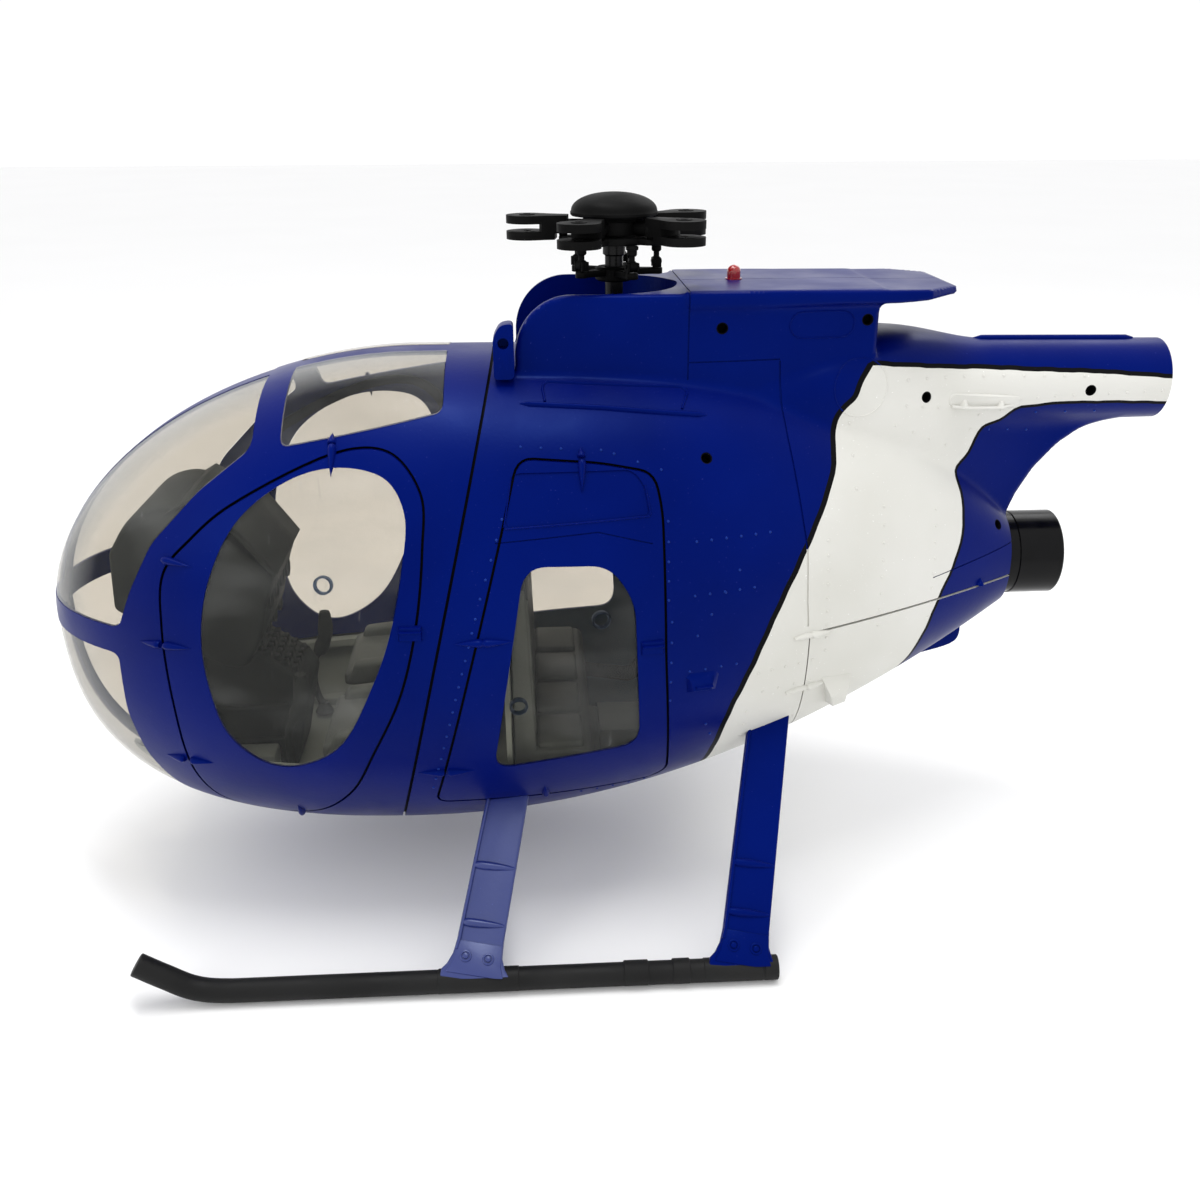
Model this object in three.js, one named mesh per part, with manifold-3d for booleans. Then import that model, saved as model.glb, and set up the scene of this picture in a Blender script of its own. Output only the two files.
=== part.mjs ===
// Large-scale light helicopter toy: an egg-shaped cabin on two skids, with opening doors,
// a five-arm rotor hub and a short open stub where a tail boom plugs in.
// Millimetres, +Z up, +X towards the tail, +Y to starboard.
// The origin is the middle of the bounding box, on the ground under the skids.

import * as THREE from "three";
import { mergeVertices } from "three/addons/utils/BufferGeometryUtils.js";
import { ParametricGeometry } from "three/addons/geometries/ParametricGeometry.js";
import Module from "manifold-3d";

const wasm = await Module();
wasm.setup();

// ---- Driving dimensions ----

// Pod: an egg with superelliptic sections
const NOSE_X = -343;
const WIDEST_X = -113;
const TAIL_X = 256; // rear lip, round the exhaust pipe
const ROOF_Z = 334;
const BELLY_Z = 34;
const WAIST_Z = 178; // height of the widest line, and of the nose tip
const LIP_Z = 195;
const LIP_R = 31;
const HALF_WIDTH = 125;
const SECTION_POWER = 2.25;
const SKIN = 2.2; // wall thickness of every moulded shell
const PANE = 1.5; // thickness of the clear windows
const TOUCH = 0.3; // gap between pieces that touch
const DOOR_GAP = 1.5; // gap round the edge of a door
const CABIN_INSET = 7; // cabin fittings stay this far inside the outer skin
const POD_ROWS_FRONT = 9;
const POD_ROWS_REAR = 8;
const POD_SIDES = 32;

// Seam between the front and the rear shell, a plane that leans back
const SEAM_TOP = { x: -66, z: 334 };
const SEAM_FOOT = { x: -131, z: 56 };

// Nose windows
const CENTRE_POST = 8; // half width of the post between the windshields
const CHIN_POST = 5;
const BAND_TOP_Z = 195; // the nose band runs between windshields and chin windows
const BAND_FOOT_Z = 179;

// Engine doors under the boom
const ENGINE_DOOR_X = 115;
const ENGINE_DOOR_TOP_Z = 181;
const ENGINE_DOOR_SLOPE = 0.07;

// Rotor
const MAST_X = 6;
const MAST_R = 5.3;
const GRIP_COUNT = 5;
const GRIP_RADIUS = 50.7; // hub axis to the blade bolt
const GRIP_Z = 402;
const GRIP_PAD_R = 12.2;
const GRIP_PLATE = 4.5;
const GRIP_SLOT = 4.4;
const FIRST_GRIP_DEG = 28;
const LINK_LAG_DEG = 26;
const LINK_RADIUS = 25;
const DOME_RINGS = 4;
const STAR_Z = 376;

// Drive
const GEAR_MODULE = 1.5;
const GEAR_TEETH = 32;
const PINION_TEETH = 8;
const GEAR_Z = 300;

// Mast fairing and tail fairing
const FAIRING_HALF = 46;
const FAIRING_FRONT_X = -53;
const FAIRING_SPLIT_X = 45;
const FAIRING_REAR_X = 155;
const FAIRING_ROOF_Z = 370;
const FAIRING_FOOT_Z = 290; // inside the pod, whose back cuts it off
const FAIRING_CHEEK = { x: -21, z: 337 }; // centre of the round front
const RECESS_X = 2; // centre of the well round the mast
const RECESS_R = 41;
const OVERHANG_FOOT_Z = 366;
const OVERHANG_TOP_Z = 371;
const OVERHANG_END_X = 202;
const OVERHANG_CORNER = 22; // length of its cut-off corners
const BOOM_Z = 309;
const BOOM_END_X = 343;
const BOOM_R = 25.6;
const BOOM_TAPER = 0.012;
const BOOM_WALL = 3;
const BOOM_SIDES = 24;
const SHOULDER_HALF = 51; // half width of the shoulder behind the mast
const SHOULDER_TOP_Z = 338;
const SHOULDER_FULL_X = 120; // it narrows from here
const SHOULDER_END_X = 235; // to the round boom here
const SHOULDER_DIP = 18; // how far its front sinks into the pod
const SHOULDER_FOOT_Z = 252;
const FLARE_X = [60, 120]; // it widens over this stretch
const RISE_X = [50, 150]; // and rises over this one
const WEB_HALF = 12;

// Landing gear
const SKID_Y = 172;
const SKID_R = 6.5;
const SKID_TOE_X = -272;
const SKID_HEEL_X = 89;
const COLLAR_R = 7.6;
const STRUT_THICKNESS = 6;
const STRUT_FOOT_Z = 14.5;

// Cabin
const FLOOR_Z = 58;
const FLOOR_THICKNESS = 6;
const DECK_Z = FLOOR_Z + FLOOR_THICKNESS + TOUCH;

// ---- Materials ----

function material(hex, roughness, metalness = 0, opacity = 1) {
  const transparent = opacity < 1;
  return new THREE.MeshStandardMaterial({ color: hex, roughness, metalness, opacity, transparent });
}

const bluePaint = () => material(0x00186e, 0.35);
const clearPlastic = () => material(0xb9b7a8, 0.1, 0, 0.35);
const blackPlastic = () => material(0x1c1c1e, 0.55);
const glossBlack = () => material(0x0b0b0d, 0.15);
const greyPlastic = () => material(0x4d5650, 0.6);
const metal = () => material(0x9a9da0, 0.35, 0.9);

// ---- Solids ----

// A manifold solid from a three.js geometry, facing out.
function solid(geometry) {
  const bare = geometry.index ? geometry.toNonIndexed() : geometry.clone();
  const points = new THREE.BufferGeometry();
  points.setAttribute("position", bare.getAttribute("position"));
  const merged = mergeVertices(points, 1e-3);
  const corners = merged.index.array;
  const kept = [];
  for (let i = 0; i < corners.length; i += 3) {
    const [a, b, c] = [corners[i], corners[i + 1], corners[i + 2]];
    if (a !== b && b !== c && c !== a) kept.push(a, b, c);
  }
  const vertProperties = merged.attributes.position.array;
  const make = (faces) =>
    new wasm.Manifold(new wasm.Mesh({ numProp: 3, vertProperties, triVerts: new Uint32Array(faces) }));
  const made = make(kept);
  if (made.volume() > 0) return made;
  for (let i = 0; i < kept.length; i += 3) [kept[i + 1], kept[i + 2]] = [kept[i + 2], kept[i + 1]];
  return make(kept);
}

function geometryOf(made) {
  const mesh = made.getMesh();
  const places = new Float32Array(mesh.numVert * 3);
  for (let i = 0; i < mesh.numVert; i++) {
    places.set(mesh.vertProperties.subarray(i * mesh.numProp, i * mesh.numProp + 3), i * 3);
  }
  const geometry = new THREE.BufferGeometry();
  geometry.setAttribute("position", new THREE.BufferAttribute(places, 3));
  geometry.setIndex(new THREE.BufferAttribute(mesh.triVerts, 1));
  geometry.computeVertexNormals();
  return geometry;
}

// The same solid on the other side of the centre plane.
const mirrored = (made) => solid(geometryOf(made).scale(1, -1, 1));

const union = (...parts) => parts.reduce((whole, part) => whole.add(part));

function box(x0, x1, y0, y1, z0, z1) {
  const shape = new THREE.BoxGeometry(x1 - x0, y1 - y0, z1 - z0);
  return solid(shape.translate((x0 + x1) / 2, (y0 + y1) / 2, (z0 + z1) / 2));
}

function rod(x, y, z0, z1, r, sides = 20, topR = r) {
  const shape = new THREE.CylinderGeometry(topR, r, z1 - z0, sides).rotateX(Math.PI / 2);
  return solid(shape.translate(x, y, (z0 + z1) / 2));
}

// A turned solid about an axis along X: the profile is a list of [x, radius].
function turnedAlongX(profile, z, sides = 24) {
  const points = profile.map(([x, r]) => new THREE.Vector2(r, x));
  return solid(new THREE.LatheGeometry(points, sides).rotateZ(-Math.PI / 2).translate(0, 0, z));
}

// A side outline [x, z], carried across from y0 to y1.
function sidePrism(points, y0, y1) {
  const shape = new THREE.Shape(points.map(([x, z]) => new THREE.Vector2(x, z)));
  const block = new THREE.ExtrudeGeometry(shape, { depth: y1 - y0, bevelEnabled: false });
  return solid(block.rotateX(Math.PI / 2).translate(0, y1, 0));
}

// A plan outline [x, y], carried up from z0 to z1.
function planPrism(points, z0, z1) {
  const shape = new THREE.Shape(points.map(([x, y]) => new THREE.Vector2(x, y)));
  const block = new THREE.ExtrudeGeometry(shape, { depth: z1 - z0, bevelEnabled: false });
  return solid(block.translate(0, 0, z0));
}

// A closed smooth outline through the points, with the given number of sides.
function smoothOutline(points, sides) {
  const knots = points.map(([x, z]) => new THREE.Vector3(x, 0, z));
  const curve = new THREE.CatmullRomCurve3(knots, true, "centripetal");
  return curve.getPoints(sides).slice(0, sides).map((p) => [p.x, p.z]);
}

// An outline moved outwards by a distance, inwards when it is negative.
function grown(points, distance) {
  const count = points.length;
  const area = points.reduce((sum, [x, z], i) => {
    const [nx, nz] = points[(i + 1) % count];
    return sum + x * nz - nx * z;
  }, 0);
  const side = Math.sign(area);
  return points.map(([x, z], i) => {
    const before = points[(i + count - 1) % count];
    const after = points[(i + 1) % count];
    const along = new THREE.Vector2(after[0] - before[0], after[1] - before[1]).normalize();
    return [x + along.y * side * distance, z - along.x * side * distance];
  });
}

function tubeAlong(points, radius, sides, steps) {
  const path = new THREE.CatmullRomCurve3(points.map((p) => new THREE.Vector3(...p)));
  const ring = new THREE.Shape();
  for (let i = 0; i < sides; i++) {
    const turn = (2 * Math.PI * (i + 0.5)) / sides;
    const corner = [radius * Math.cos(turn), radius * Math.sin(turn)];
    if (i === 0) ring.moveTo(...corner);
    else ring.lineTo(...corner);
  }
  ring.closePath();
  return solid(new THREE.ExtrudeGeometry(ring, { steps, bevelEnabled: false, extrudePath: path }));
}

// ---- Pod surface ----

const signedPower = (v, power) => Math.sign(v) * Math.abs(v) ** power;
const bulge = (u, power) => Math.max(0, 1 - Math.min(1, Math.max(0, u)) ** power) ** (1 / power);

// Heights and half width of the pod at a station, for a surface inset from the outer skin.
function podStation(x, inset) {
  const roof = ROOF_Z - inset;
  const belly = BELLY_Z + inset;
  const half = HALF_WIDTH - inset;
  if (x <= WIDEST_X) {
    const u = (WIDEST_X - x) / (WIDEST_X - NOSE_X - inset);
    return {
      top: WAIST_Z + (roof - WAIST_Z) * bulge(u, 1.9),
      foot: WAIST_Z + (belly - WAIST_Z) * bulge(u, 2.8),
      half: half * bulge(u, 2.1),
      waist: WAIST_Z,
    };
  }
  const s = (x - WIDEST_X) / (TAIL_X - WIDEST_X);
  const lip = LIP_R - inset;
  return {
    top: roof + (LIP_Z + lip - roof) * s ** 3.8,
    foot: belly + (LIP_Z - lip - belly) * s ** 1.9,
    half: half + (lip - half) * s ** 2.1,
    waist: WAIST_Z + (LIP_Z - WAIST_Z) * Math.max(0, x / TAIL_X) ** 1.3,
  };
}

function podSolid(inset, overrun = 0) {
  const rows = POD_ROWS_FRONT + POD_ROWS_REAR + 1;
  const place = (u, v, target) => {
    const row = Math.round(v * rows);
    const turn = 2 * Math.PI * (Math.round(u * POD_SIDES) % POD_SIDES) / POD_SIDES;
    let x = TAIL_X + overrun;
    if (row < POD_ROWS_FRONT) {
      const sweep = ((row / POD_ROWS_FRONT) * Math.PI) / 2;
      x = WIDEST_X - (WIDEST_X - NOSE_X - inset) * Math.cos(sweep);
    } else if (row < rows) {
      x = WIDEST_X + ((TAIL_X + overrun - WIDEST_X) * (row - POD_ROWS_FRONT)) / POD_ROWS_REAR;
    }
    const at = podStation(x, inset);
    if (row === 0) return target.set(NOSE_X + inset, 0, WAIST_Z);
    if (row === rows) return target.set(x, 0, at.waist);
    const rise = Math.sin(turn) >= 0 ? at.top - at.waist : at.waist - at.foot;
    const across = at.half * signedPower(Math.cos(turn), 2 / SECTION_POWER);
    return target.set(x, across, at.waist + rise * signedPower(Math.sin(turn), 2 / SECTION_POWER));
  };
  return solid(new ParametricGeometry(place, POD_SIDES, rows));
}

const podOuter = podSolid(0);
const podClear = podSolid(-TOUCH, 1);
const podInner = podSolid(SKIN, 2);
const podCabin = podSolid(CABIN_INSET, 0);
const skin = podOuter.subtract(podInner);
const paneLayer = podSolid(SKIN + TOUCH).subtract(podSolid(SKIN + TOUCH + PANE, 1));

const FAR = 500; // beyond the object in any direction
const WIDE = 200; // beyond the pod's side

// ---- Outlines on the pod's side, [x, z] ----

const frontDoorOutline = smoothOutline(
  [
    [-253, 150], [-253, 200], [-249, 231], [-232, 250], [-209, 268], [-145, 296], [-120, 294],
    [-105, 275], [-105, 248], [-110, 208], [-121, 166], [-139, 127], [-157, 92], [-184, 66],
    [-212, 60], [-238, 68], [-250, 95],
  ],
  28,
);
const frontWindowOutline = smoothOutline(
  [
    [-230, 197], [-229, 164], [-222, 135], [-205, 117], [-188, 114], [-160, 129], [-136, 172],
    [-124, 204], [-116, 240], [-114, 266], [-123, 282], [-145, 288], [-173, 283], [-204, 262], [-222, 231],
  ],
  22,
);
const rearDoorOutline = [
  [-107, 85], [-56, 281], [-52, 288], [-46, 291], [8, 284], [18, 279], [24, 268], [26, 255], [28, 178],
  [33, 90], [30, 82], [22, 79], [-100, 80],
];
const rearWindowOutline = [
  [-49, 226], [-44, 234], [-27, 237], [-4, 234], [6, 226], [10, 214], [14, 132], [11, 122], [4, 119],
  [-61, 111], [-70, 115], [-71, 126],
];
const seamSlope = (SEAM_TOP.x - SEAM_FOOT.x) / (SEAM_TOP.z - SEAM_FOOT.z);
const seamX = (z) => SEAM_TOP.x + (z - SEAM_TOP.z) * seamSlope;
const windshieldOutline = [
  [-281, BAND_TOP_Z], [-271, 218], [-256, 245], [-228, 273], [-202, 292], [-198, 300], [-198, FAR],
  [-FAR, FAR], [-FAR, BAND_TOP_Z],
];
const skylightOutline = [[-182, 296], [-93, 312], [-93, FAR], [-182, FAR]];
const chinOutline = [
  [-284, BAND_FOOT_Z], [-FAR, BAND_FOOT_Z], [-FAR, 0], [-240, 0], [-253, 40], [-261, 60], [-271, 80],
  [-281, 107], [-286, 140],
];
const engineDoorTop = (x) => ENGINE_DOOR_TOP_Z + (x - ENGINE_DOOR_X) * ENGINE_DOOR_SLOPE;
const engineDoorOutline = [
  [ENGINE_DOOR_X, 0], [ENGINE_DOOR_X, engineDoorTop(ENGINE_DOOR_X)], [FAR, engineDoorTop(FAR)], [FAR, 0],
];

const nodes = [];
function add(name, made, look) {
  nodes.push({ name, made, look });
}

// The same piece on both sides: the maker gives the port one.
function addPair(name, port, look) {
  add(name + "_left", port, look);
  add(name + "_right", mirrored(port), look);
}

// A pane behind a window: it overlaps the frame by a rim all round.
function paneBehind(outline, nearY, rim = 4) {
  return paneLayer.intersect(sidePrism(grown(outline, rim), -WIDE, -nearY));
}

const bothSides = (port) => union(port, mirrored(port));

// ---- Fuselage shells ----

// Everything on one side of the seam, with the gap that touching shells keep.
function besideSeam(side) {
  const edge = (z) => [seamX(z) + side * TOUCH, z];
  return sidePrism([[side * FAR, 0], edge(0), edge(FAR), [side * FAR, FAR]], -WIDE, WIDE);
}

function frontShell() {
  const openings = union(
    sidePrism(grown(frontDoorOutline, DOOR_GAP / 2), -WIDE, 0),
    sidePrism(windshieldOutline, -WIDE, -CENTRE_POST),
    sidePrism(skylightOutline, -WIDE, -CENTRE_POST - 2),
    sidePrism(chinOutline, -WIDE, -CHIN_POST),
  );
  return skin.intersect(besideSeam(-1)).subtract(bothSides(openings));
}

const SWITCH_X = -95;
const SWITCH_TRAVEL = 5;

function rearShell() {
  const doors = union(
    sidePrism(grown(rearDoorOutline, DOOR_GAP / 2), -WIDE, 0),
    sidePrism(grown(engineDoorOutline, DOOR_GAP / 2), -WIDE, 1),
  );
  const mastHole = rod(MAST_X, 0, 300, 340, MAST_R + 2);
  const switchSlot = box(SWITCH_X - 4, SWITCH_X + 4 + SWITCH_TRAVEL, -2.5, 2.5, 20, 45);
  return skin.intersect(besideSeam(1)).subtract(bothSides(doors)).subtract(mastHole).subtract(switchSlot);
}

// Points along a stretch of an ellipse.
function ellipsePoints(x, y, rx, ry, from, to, count) {
  return new THREE.EllipseCurve(x, y, rx, ry, from, to, to < from).getPoints(count).map((p) => [p.x, p.y]);
}

function mastFairing() {
  const cheekX = FAIRING_CHEEK.x - FAIRING_FRONT_X;
  const cheekZ = FAIRING_ROOF_Z - FAIRING_CHEEK.z;
  const profile = [
    [FAIRING_FRONT_X, FAIRING_FOOT_Z],
    ...ellipsePoints(FAIRING_CHEEK.x, FAIRING_CHEEK.z, cheekX, cheekZ, Math.PI, Math.PI / 2, 8),
    [FAIRING_SPLIT_X, FAIRING_ROOF_Z],
    [FAIRING_SPLIT_X, FAIRING_FOOT_Z],
  ];
  const recess = [
    [-FAR, -RECESS_R],
    ...ellipsePoints(RECESS_X, 0, RECESS_R, RECESS_R, -Math.PI / 2, Math.PI / 2, 16),
    [-FAR, RECESS_R],
  ];
  const block = sidePrism(profile, -FAIRING_HALF, FAIRING_HALF);
  return block.subtract(planPrism(recess, 0, FAR)).subtract(podClear);
}

// Half width, top and foot of the shoulder that narrows from the pod's back into the boom stub.
function boomStation(x, inset) {
  const { lerp, smoothstep } = THREE.MathUtils;
  const narrow = smoothstep(x, SHOULDER_FULL_X, SHOULDER_END_X);
  const flare = lerp(FAIRING_HALF, SHOULDER_HALF, smoothstep(x, ...FLARE_X));
  const rising = SHOULDER_TOP_Z - SHOULDER_DIP * (1 - smoothstep(x, ...RISE_X));
  const half = lerp(flare, BOOM_R, narrow) - Math.max(0, x - SHOULDER_END_X) * BOOM_TAPER;
  return {
    half: half - inset,
    top: lerp(rising, BOOM_Z + half, narrow) - inset,
    foot: lerp(SHOULDER_FOOT_Z, BOOM_Z - half, narrow) + inset,
    power: lerp(4, 2, narrow), // from a rounded box to a circle
  };
}

function boomSolid(inset, fromX, toX) {
  const stations = [fromX, 90, SHOULDER_FULL_X, 150, 170, 190, 212, SHOULDER_END_X, toX];
  const rows = stations.length + 1;
  const place = (u, v, target) => {
    const row = Math.round(v * rows);
    const x = stations[Math.min(stations.length - 1, Math.max(0, row - 1))];
    const at = boomStation(x, inset);
    const middle = (at.top + at.foot) / 2;
    if (row === 0 || row === rows) return target.set(x, 0, middle);
    const turn = 2 * Math.PI * (Math.round(u * BOOM_SIDES) % BOOM_SIDES) / BOOM_SIDES;
    const rise = (at.top - at.foot) / 2;
    const across = at.half * signedPower(Math.cos(turn), 2 / at.power);
    return target.set(x, across, middle + rise * signedPower(Math.sin(turn), 2 / at.power));
  };
  return solid(new ParametricGeometry(place, BOOM_SIDES, rows));
}

function tailFairing() {
  const front = FAIRING_SPLIT_X + TOUCH;
  const inner = FAIRING_HALF - SKIN;
  const walls = box(front, FAIRING_REAR_X, -FAIRING_HALF, FAIRING_HALF, FAIRING_FOOT_Z, FAIRING_ROOF_Z);
  const hollow = box(front + SKIN, FAIRING_REAR_X - SKIN, -inner, inner, 200, FAIRING_ROOF_Z - SKIN);
  const cornerX = OVERHANG_END_X - OVERHANG_CORNER;
  const endHalf = FAIRING_HALF - 12;
  const roofHalf = [[front, FAIRING_HALF], [cornerX, FAIRING_HALF], [OVERHANG_END_X, endHalf]];
  const roofOutline = [...roofHalf.map(([x, y]) => [x, -y]), ...roofHalf.reverse()];
  const roof = planPrism(roofOutline, OVERHANG_FOOT_Z, OVERHANG_TOP_Z);
  const web = sidePrism(
    [
      [150, 230], [150, 300], [322, 300], [302, 281], [286, 269], [272, 254], [262, 238], [257, 226],
      [240, 222],
    ],
    -WEB_HALF,
    WEB_HALF,
  );
  const stub = boomSolid(0, 60, BOOM_END_X);
  const bore = boomSolid(BOOM_WALL, 63, BOOM_END_X + 5);
  return union(walls.subtract(hollow), roof, web, stub).subtract(bore).subtract(podClear);
}

add("front_shell", frontShell(), bluePaint);
add("rear_shell", rearShell(), bluePaint);
add("mast_fairing", mastFairing(), bluePaint);
add("tail_fairing", tailFairing(), bluePaint);
addPair("windshield", paneBehind(windshieldOutline, CENTRE_POST / 2), clearPlastic);
addPair("skylight", paneBehind(skylightOutline, CENTRE_POST / 2), clearPlastic);
addPair("chin_window", paneBehind(chinOutline, 2), clearPlastic);

// ---- Doors ----

function door(outline, windowOutline) {
  return skin
    .intersect(sidePrism(grown(outline, -DOOR_GAP / 2), -WIDE, 0))
    .subtract(sidePrism(windowOutline, -WIDE, 0));
}

addPair("front_door", door(frontDoorOutline, frontWindowOutline), bluePaint);
addPair("front_door_window", paneBehind(frontWindowOutline, 0), clearPlastic);
addPair("rear_door", door(rearDoorOutline, rearWindowOutline), bluePaint);
addPair("rear_door_window", paneBehind(rearWindowOutline, 0), clearPlastic);
const engineDoor = sidePrism(grown(engineDoorOutline, -DOOR_GAP / 2), -WIDE, -1);
addPair("engine_door", skin.intersect(engineDoor), bluePaint);

// ---- Cabin ----

function cabinFloor() {
  return podCabin.intersect(box(-300, 75, -WIDE, WIDE, FLOOR_Z, FLOOR_Z + FLOOR_THICKNESS));
}

function instrumentConsole() {
  const column = [
    [-296, DECK_Z], [-204, DECK_Z], [-192, 120], [-198, 130], [-226, 150], [-240, 196], [-292, 196],
  ];
  const pedestal = sidePrism(column, -24, 24);
  const hoodOutline = [
    [-300, 186], [-262, 160], [-232, 144], [-217, 158], [-207, 190], [-203, 203], [-226, 228],
    [-251, 249], [-268, 251], [-284, 243], [-298, 222],
  ];
  const hood = sidePrism(hoodOutline, -40, 40);
  // Both are mouldings with 3 mm walls, open towards the nose.
  const underHood = [
    [-340, 196], [-298, 187], [-262, 164], [-233, 148], [-220.5, 159.5], [-210.5, 190], [-207, 202],
    [-228, 225.5], [-252, 245.5], [-267, 247.5], [-282, 240], [-295, 221], [-340, 221],
  ];
  const insideColumn = [
    [-340, DECK_Z + 3], [-207, DECK_Z + 3], [-195.5, 120], [-201, 128], [-228, 147], [-240, 154],
    [-262, 157], [-340, 190],
  ];
  const hollow = union(sidePrism(underHood, -37, 37), sidePrism(insideColumn, -21, 21));
  return union(pedestal, hood).subtract(hollow).intersect(podCabin);
}

function seat() {
  const shell = [
    [-176, 103], [-108, 98], [-100, 104], [-74, 238], [-84, 242], [-96, 236], [-114, 118], [-176, 112],
  ];
  const base = [[-160, DECK_Z], [-118, DECK_Z], [-118, 104], [-160, 104]];
  return union(sidePrism(shell, -84, -14), sidePrism(base, -70, -28)).intersect(podCabin);
}

function bulkhead() {
  return podCabin.intersect(box(-64, -61, -WIDE, WIDE, DECK_Z, 246));
}

function rearBench() {
  const profile = [
    [-60, DECK_Z], [-52, DECK_Z], [-48, 98], [-20, 98], [-20, DECK_Z], [-12, DECK_Z], [-12, 108],
    [-48, 108], [-52, 214], [-60, 214],
  ];
  return podCabin.intersect(sidePrism(profile, -92, 92));
}

function cyclicStick() {
  const x = -196;
  const y = -49;
  const bend = [[x, y, DECK_Z + 1.8], [x - 6, y, 84], [x - 6, y, 104], [x, y, 116]];
  const shaft = tubeAlong(bend, 2.6, 8, 8);
  const grip = tubeAlong([[x - 1, y, 113], [x + 4, y, 127], [x + 5, y, 144]], 5.2, 8, 4);
  return union(shaft, grip);
}

add("cabin_floor", cabinFloor(), greyPlastic);
add("instrument_console", instrumentConsole(), blackPlastic);
addPair("seat", seat(), blackPlastic);
add("cabin_bulkhead", bulkhead(), greyPlastic);
add("rear_bench", rearBench(), blackPlastic);
addPair("cyclic_stick", cyclicStick(), blackPlastic);

// ---- Engine bay and electrics ----

function engine() {
  const profile = [
    [128, 0], [128, 12], [138, 12], [138, 22], [152, 22], [152, 17], [176, 17], [176, 24], [194, 24],
    [194, 0],
  ];
  const body = turnedAlongX(profile, LIP_Z - 4, 20);
  const gearbox = box(132, 150, -15, 15, 150, LIP_Z - 4);
  const rails = union(box(134, 140, -14, 14, 128, 151), box(134, 188, -4, 4, 160, 176));
  return union(body, gearbox, rails);
}

function exhaustPipe() {
  return turnedAlongX([[200, 23.5], [200, 27], [292, 27], [292, 23.5], [200, 23.5]], LIP_Z, 32);
}

function batteryBox() {
  return box(-82, -50, -24, 24, 44, FLOOR_Z - TOUCH);
}

function receiverBox() {
  return box(-4, 28, -20, 20, DECK_Z, 82);
}

function powerSwitch() {
  const knob = box(SWITCH_X - 3, SWITCH_X + 3, -2, 2, 32.8, 40);
  const plate = box(SWITCH_X - 8, SWITCH_X + 8, -5, 5, 39, 42);
  return union(knob, plate);
}

add("engine", engine(), metal);
add("exhaust_pipe", exhaustPipe(), glossBlack);
add("battery_box", batteryBox(), blackPlastic);
add("receiver_box", receiverBox(), greyPlastic);
add("power_switch", powerSwitch(), blackPlastic);

// ---- Rotor drive ----

// Straight teeth, narrow enough to run with backlash.
function gearOutline(teeth, firstTooth) {
  const pitchR = (GEAR_MODULE * teeth) / 2;
  const step = (2 * Math.PI) / teeth;
  const flanks = [[-0.25, -1.15], [-0.11, 0.75], [0.11, 0.75], [0.25, -1.15]];
  const outline = [];
  for (let i = 0; i < teeth; i++) {
    for (const [share, height] of flanks) {
      const turn = firstTooth + (i + share) * step;
      const r = pitchR + height * GEAR_MODULE;
      outline.push([r * Math.cos(turn), r * Math.sin(turn)]);
    }
  }
  return outline;
}

const gearCentres = (GEAR_MODULE * (GEAR_TEETH + PINION_TEETH)) / 2;
const PINION_X = MAST_X + gearCentres;

function mainGear() {
  const outline = gearOutline(GEAR_TEETH, 0).map(([x, y]) => [x + MAST_X, y]);
  const wheel = planPrism(outline, GEAR_Z, GEAR_Z + 5);
  return wheel.subtract(rod(MAST_X, 0, 290, 310, MAST_R + TOUCH));
}

function motorPinion() {
  const first = Math.PI + Math.PI / PINION_TEETH;
  const outline = gearOutline(PINION_TEETH, first).map(([x, y]) => [x + PINION_X, y]);
  const teeth = planPrism(outline, GEAR_Z - 0.5, GEAR_Z + 5.5);
  return union(teeth, rod(PINION_X, 0, 284.5, 303, 1.5, 12));
}

function gearHousing() {
  const tray = box(-26, 50, -31, 31, 286, 289);
  const walls = bothSides(box(-26, 50, -31, -28.5, 286, 312));
  return union(tray, walls).subtract(rod(PINION_X, 0, 280, 295, 3)).intersect(podCabin);
}

add("main_gear", mainGear(), greyPlastic);
add("motor_pinion", motorPinion(), metal);
add("gear_housing", gearHousing(), blackPlastic);
add("drive_motor", rod(PINION_X, 0, 258, 284, 11, 20), metal);

// ---- Rotor ----

const onRotor = (made, degrees) => {
  const turned = geometryOf(made).rotateZ(THREE.MathUtils.degToRad(degrees));
  return solid(turned.translate(MAST_X, 0, 0));
};

function rotorMast() {
  return union(rod(MAST_X, 0, 292, 393, MAST_R, 16), rod(MAST_X, 0, 292, 298, 8, 16));
}

// The root plates of the grips sit on this hub, one arm under each.
function hubPlate() {
  const arms = [];
  for (let i = 0; i < GRIP_COUNT; i++) {
    arms.push(onRotor(box(6, 32, -6.5, 6.5, 393.5, 397.5), FIRST_GRIP_DEG + (360 / GRIP_COUNT) * i));
  }
  return union(rod(MAST_X, 0, 393.5, 398, 24, 20), ...arms);
}

function hubDome() {
  const points = [new THREE.Vector2(0, 409), new THREE.Vector2(25, 409), new THREE.Vector2(25, 410.5)];
  for (let i = 1; i <= DOME_RINGS; i++) {
    const turn = (i / DOME_RINGS) * (Math.PI / 2);
    points.push(new THREE.Vector2(25 * Math.cos(turn), 410.5 + 11 * Math.sin(turn)));
  }
  const cap = solid(new THREE.LatheGeometry(points, 20).rotateX(Math.PI / 2).translate(MAST_X, 0, 0));
  return union(cap, rod(MAST_X, 0, 398.5, 410, 17, 16));
}

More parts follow.
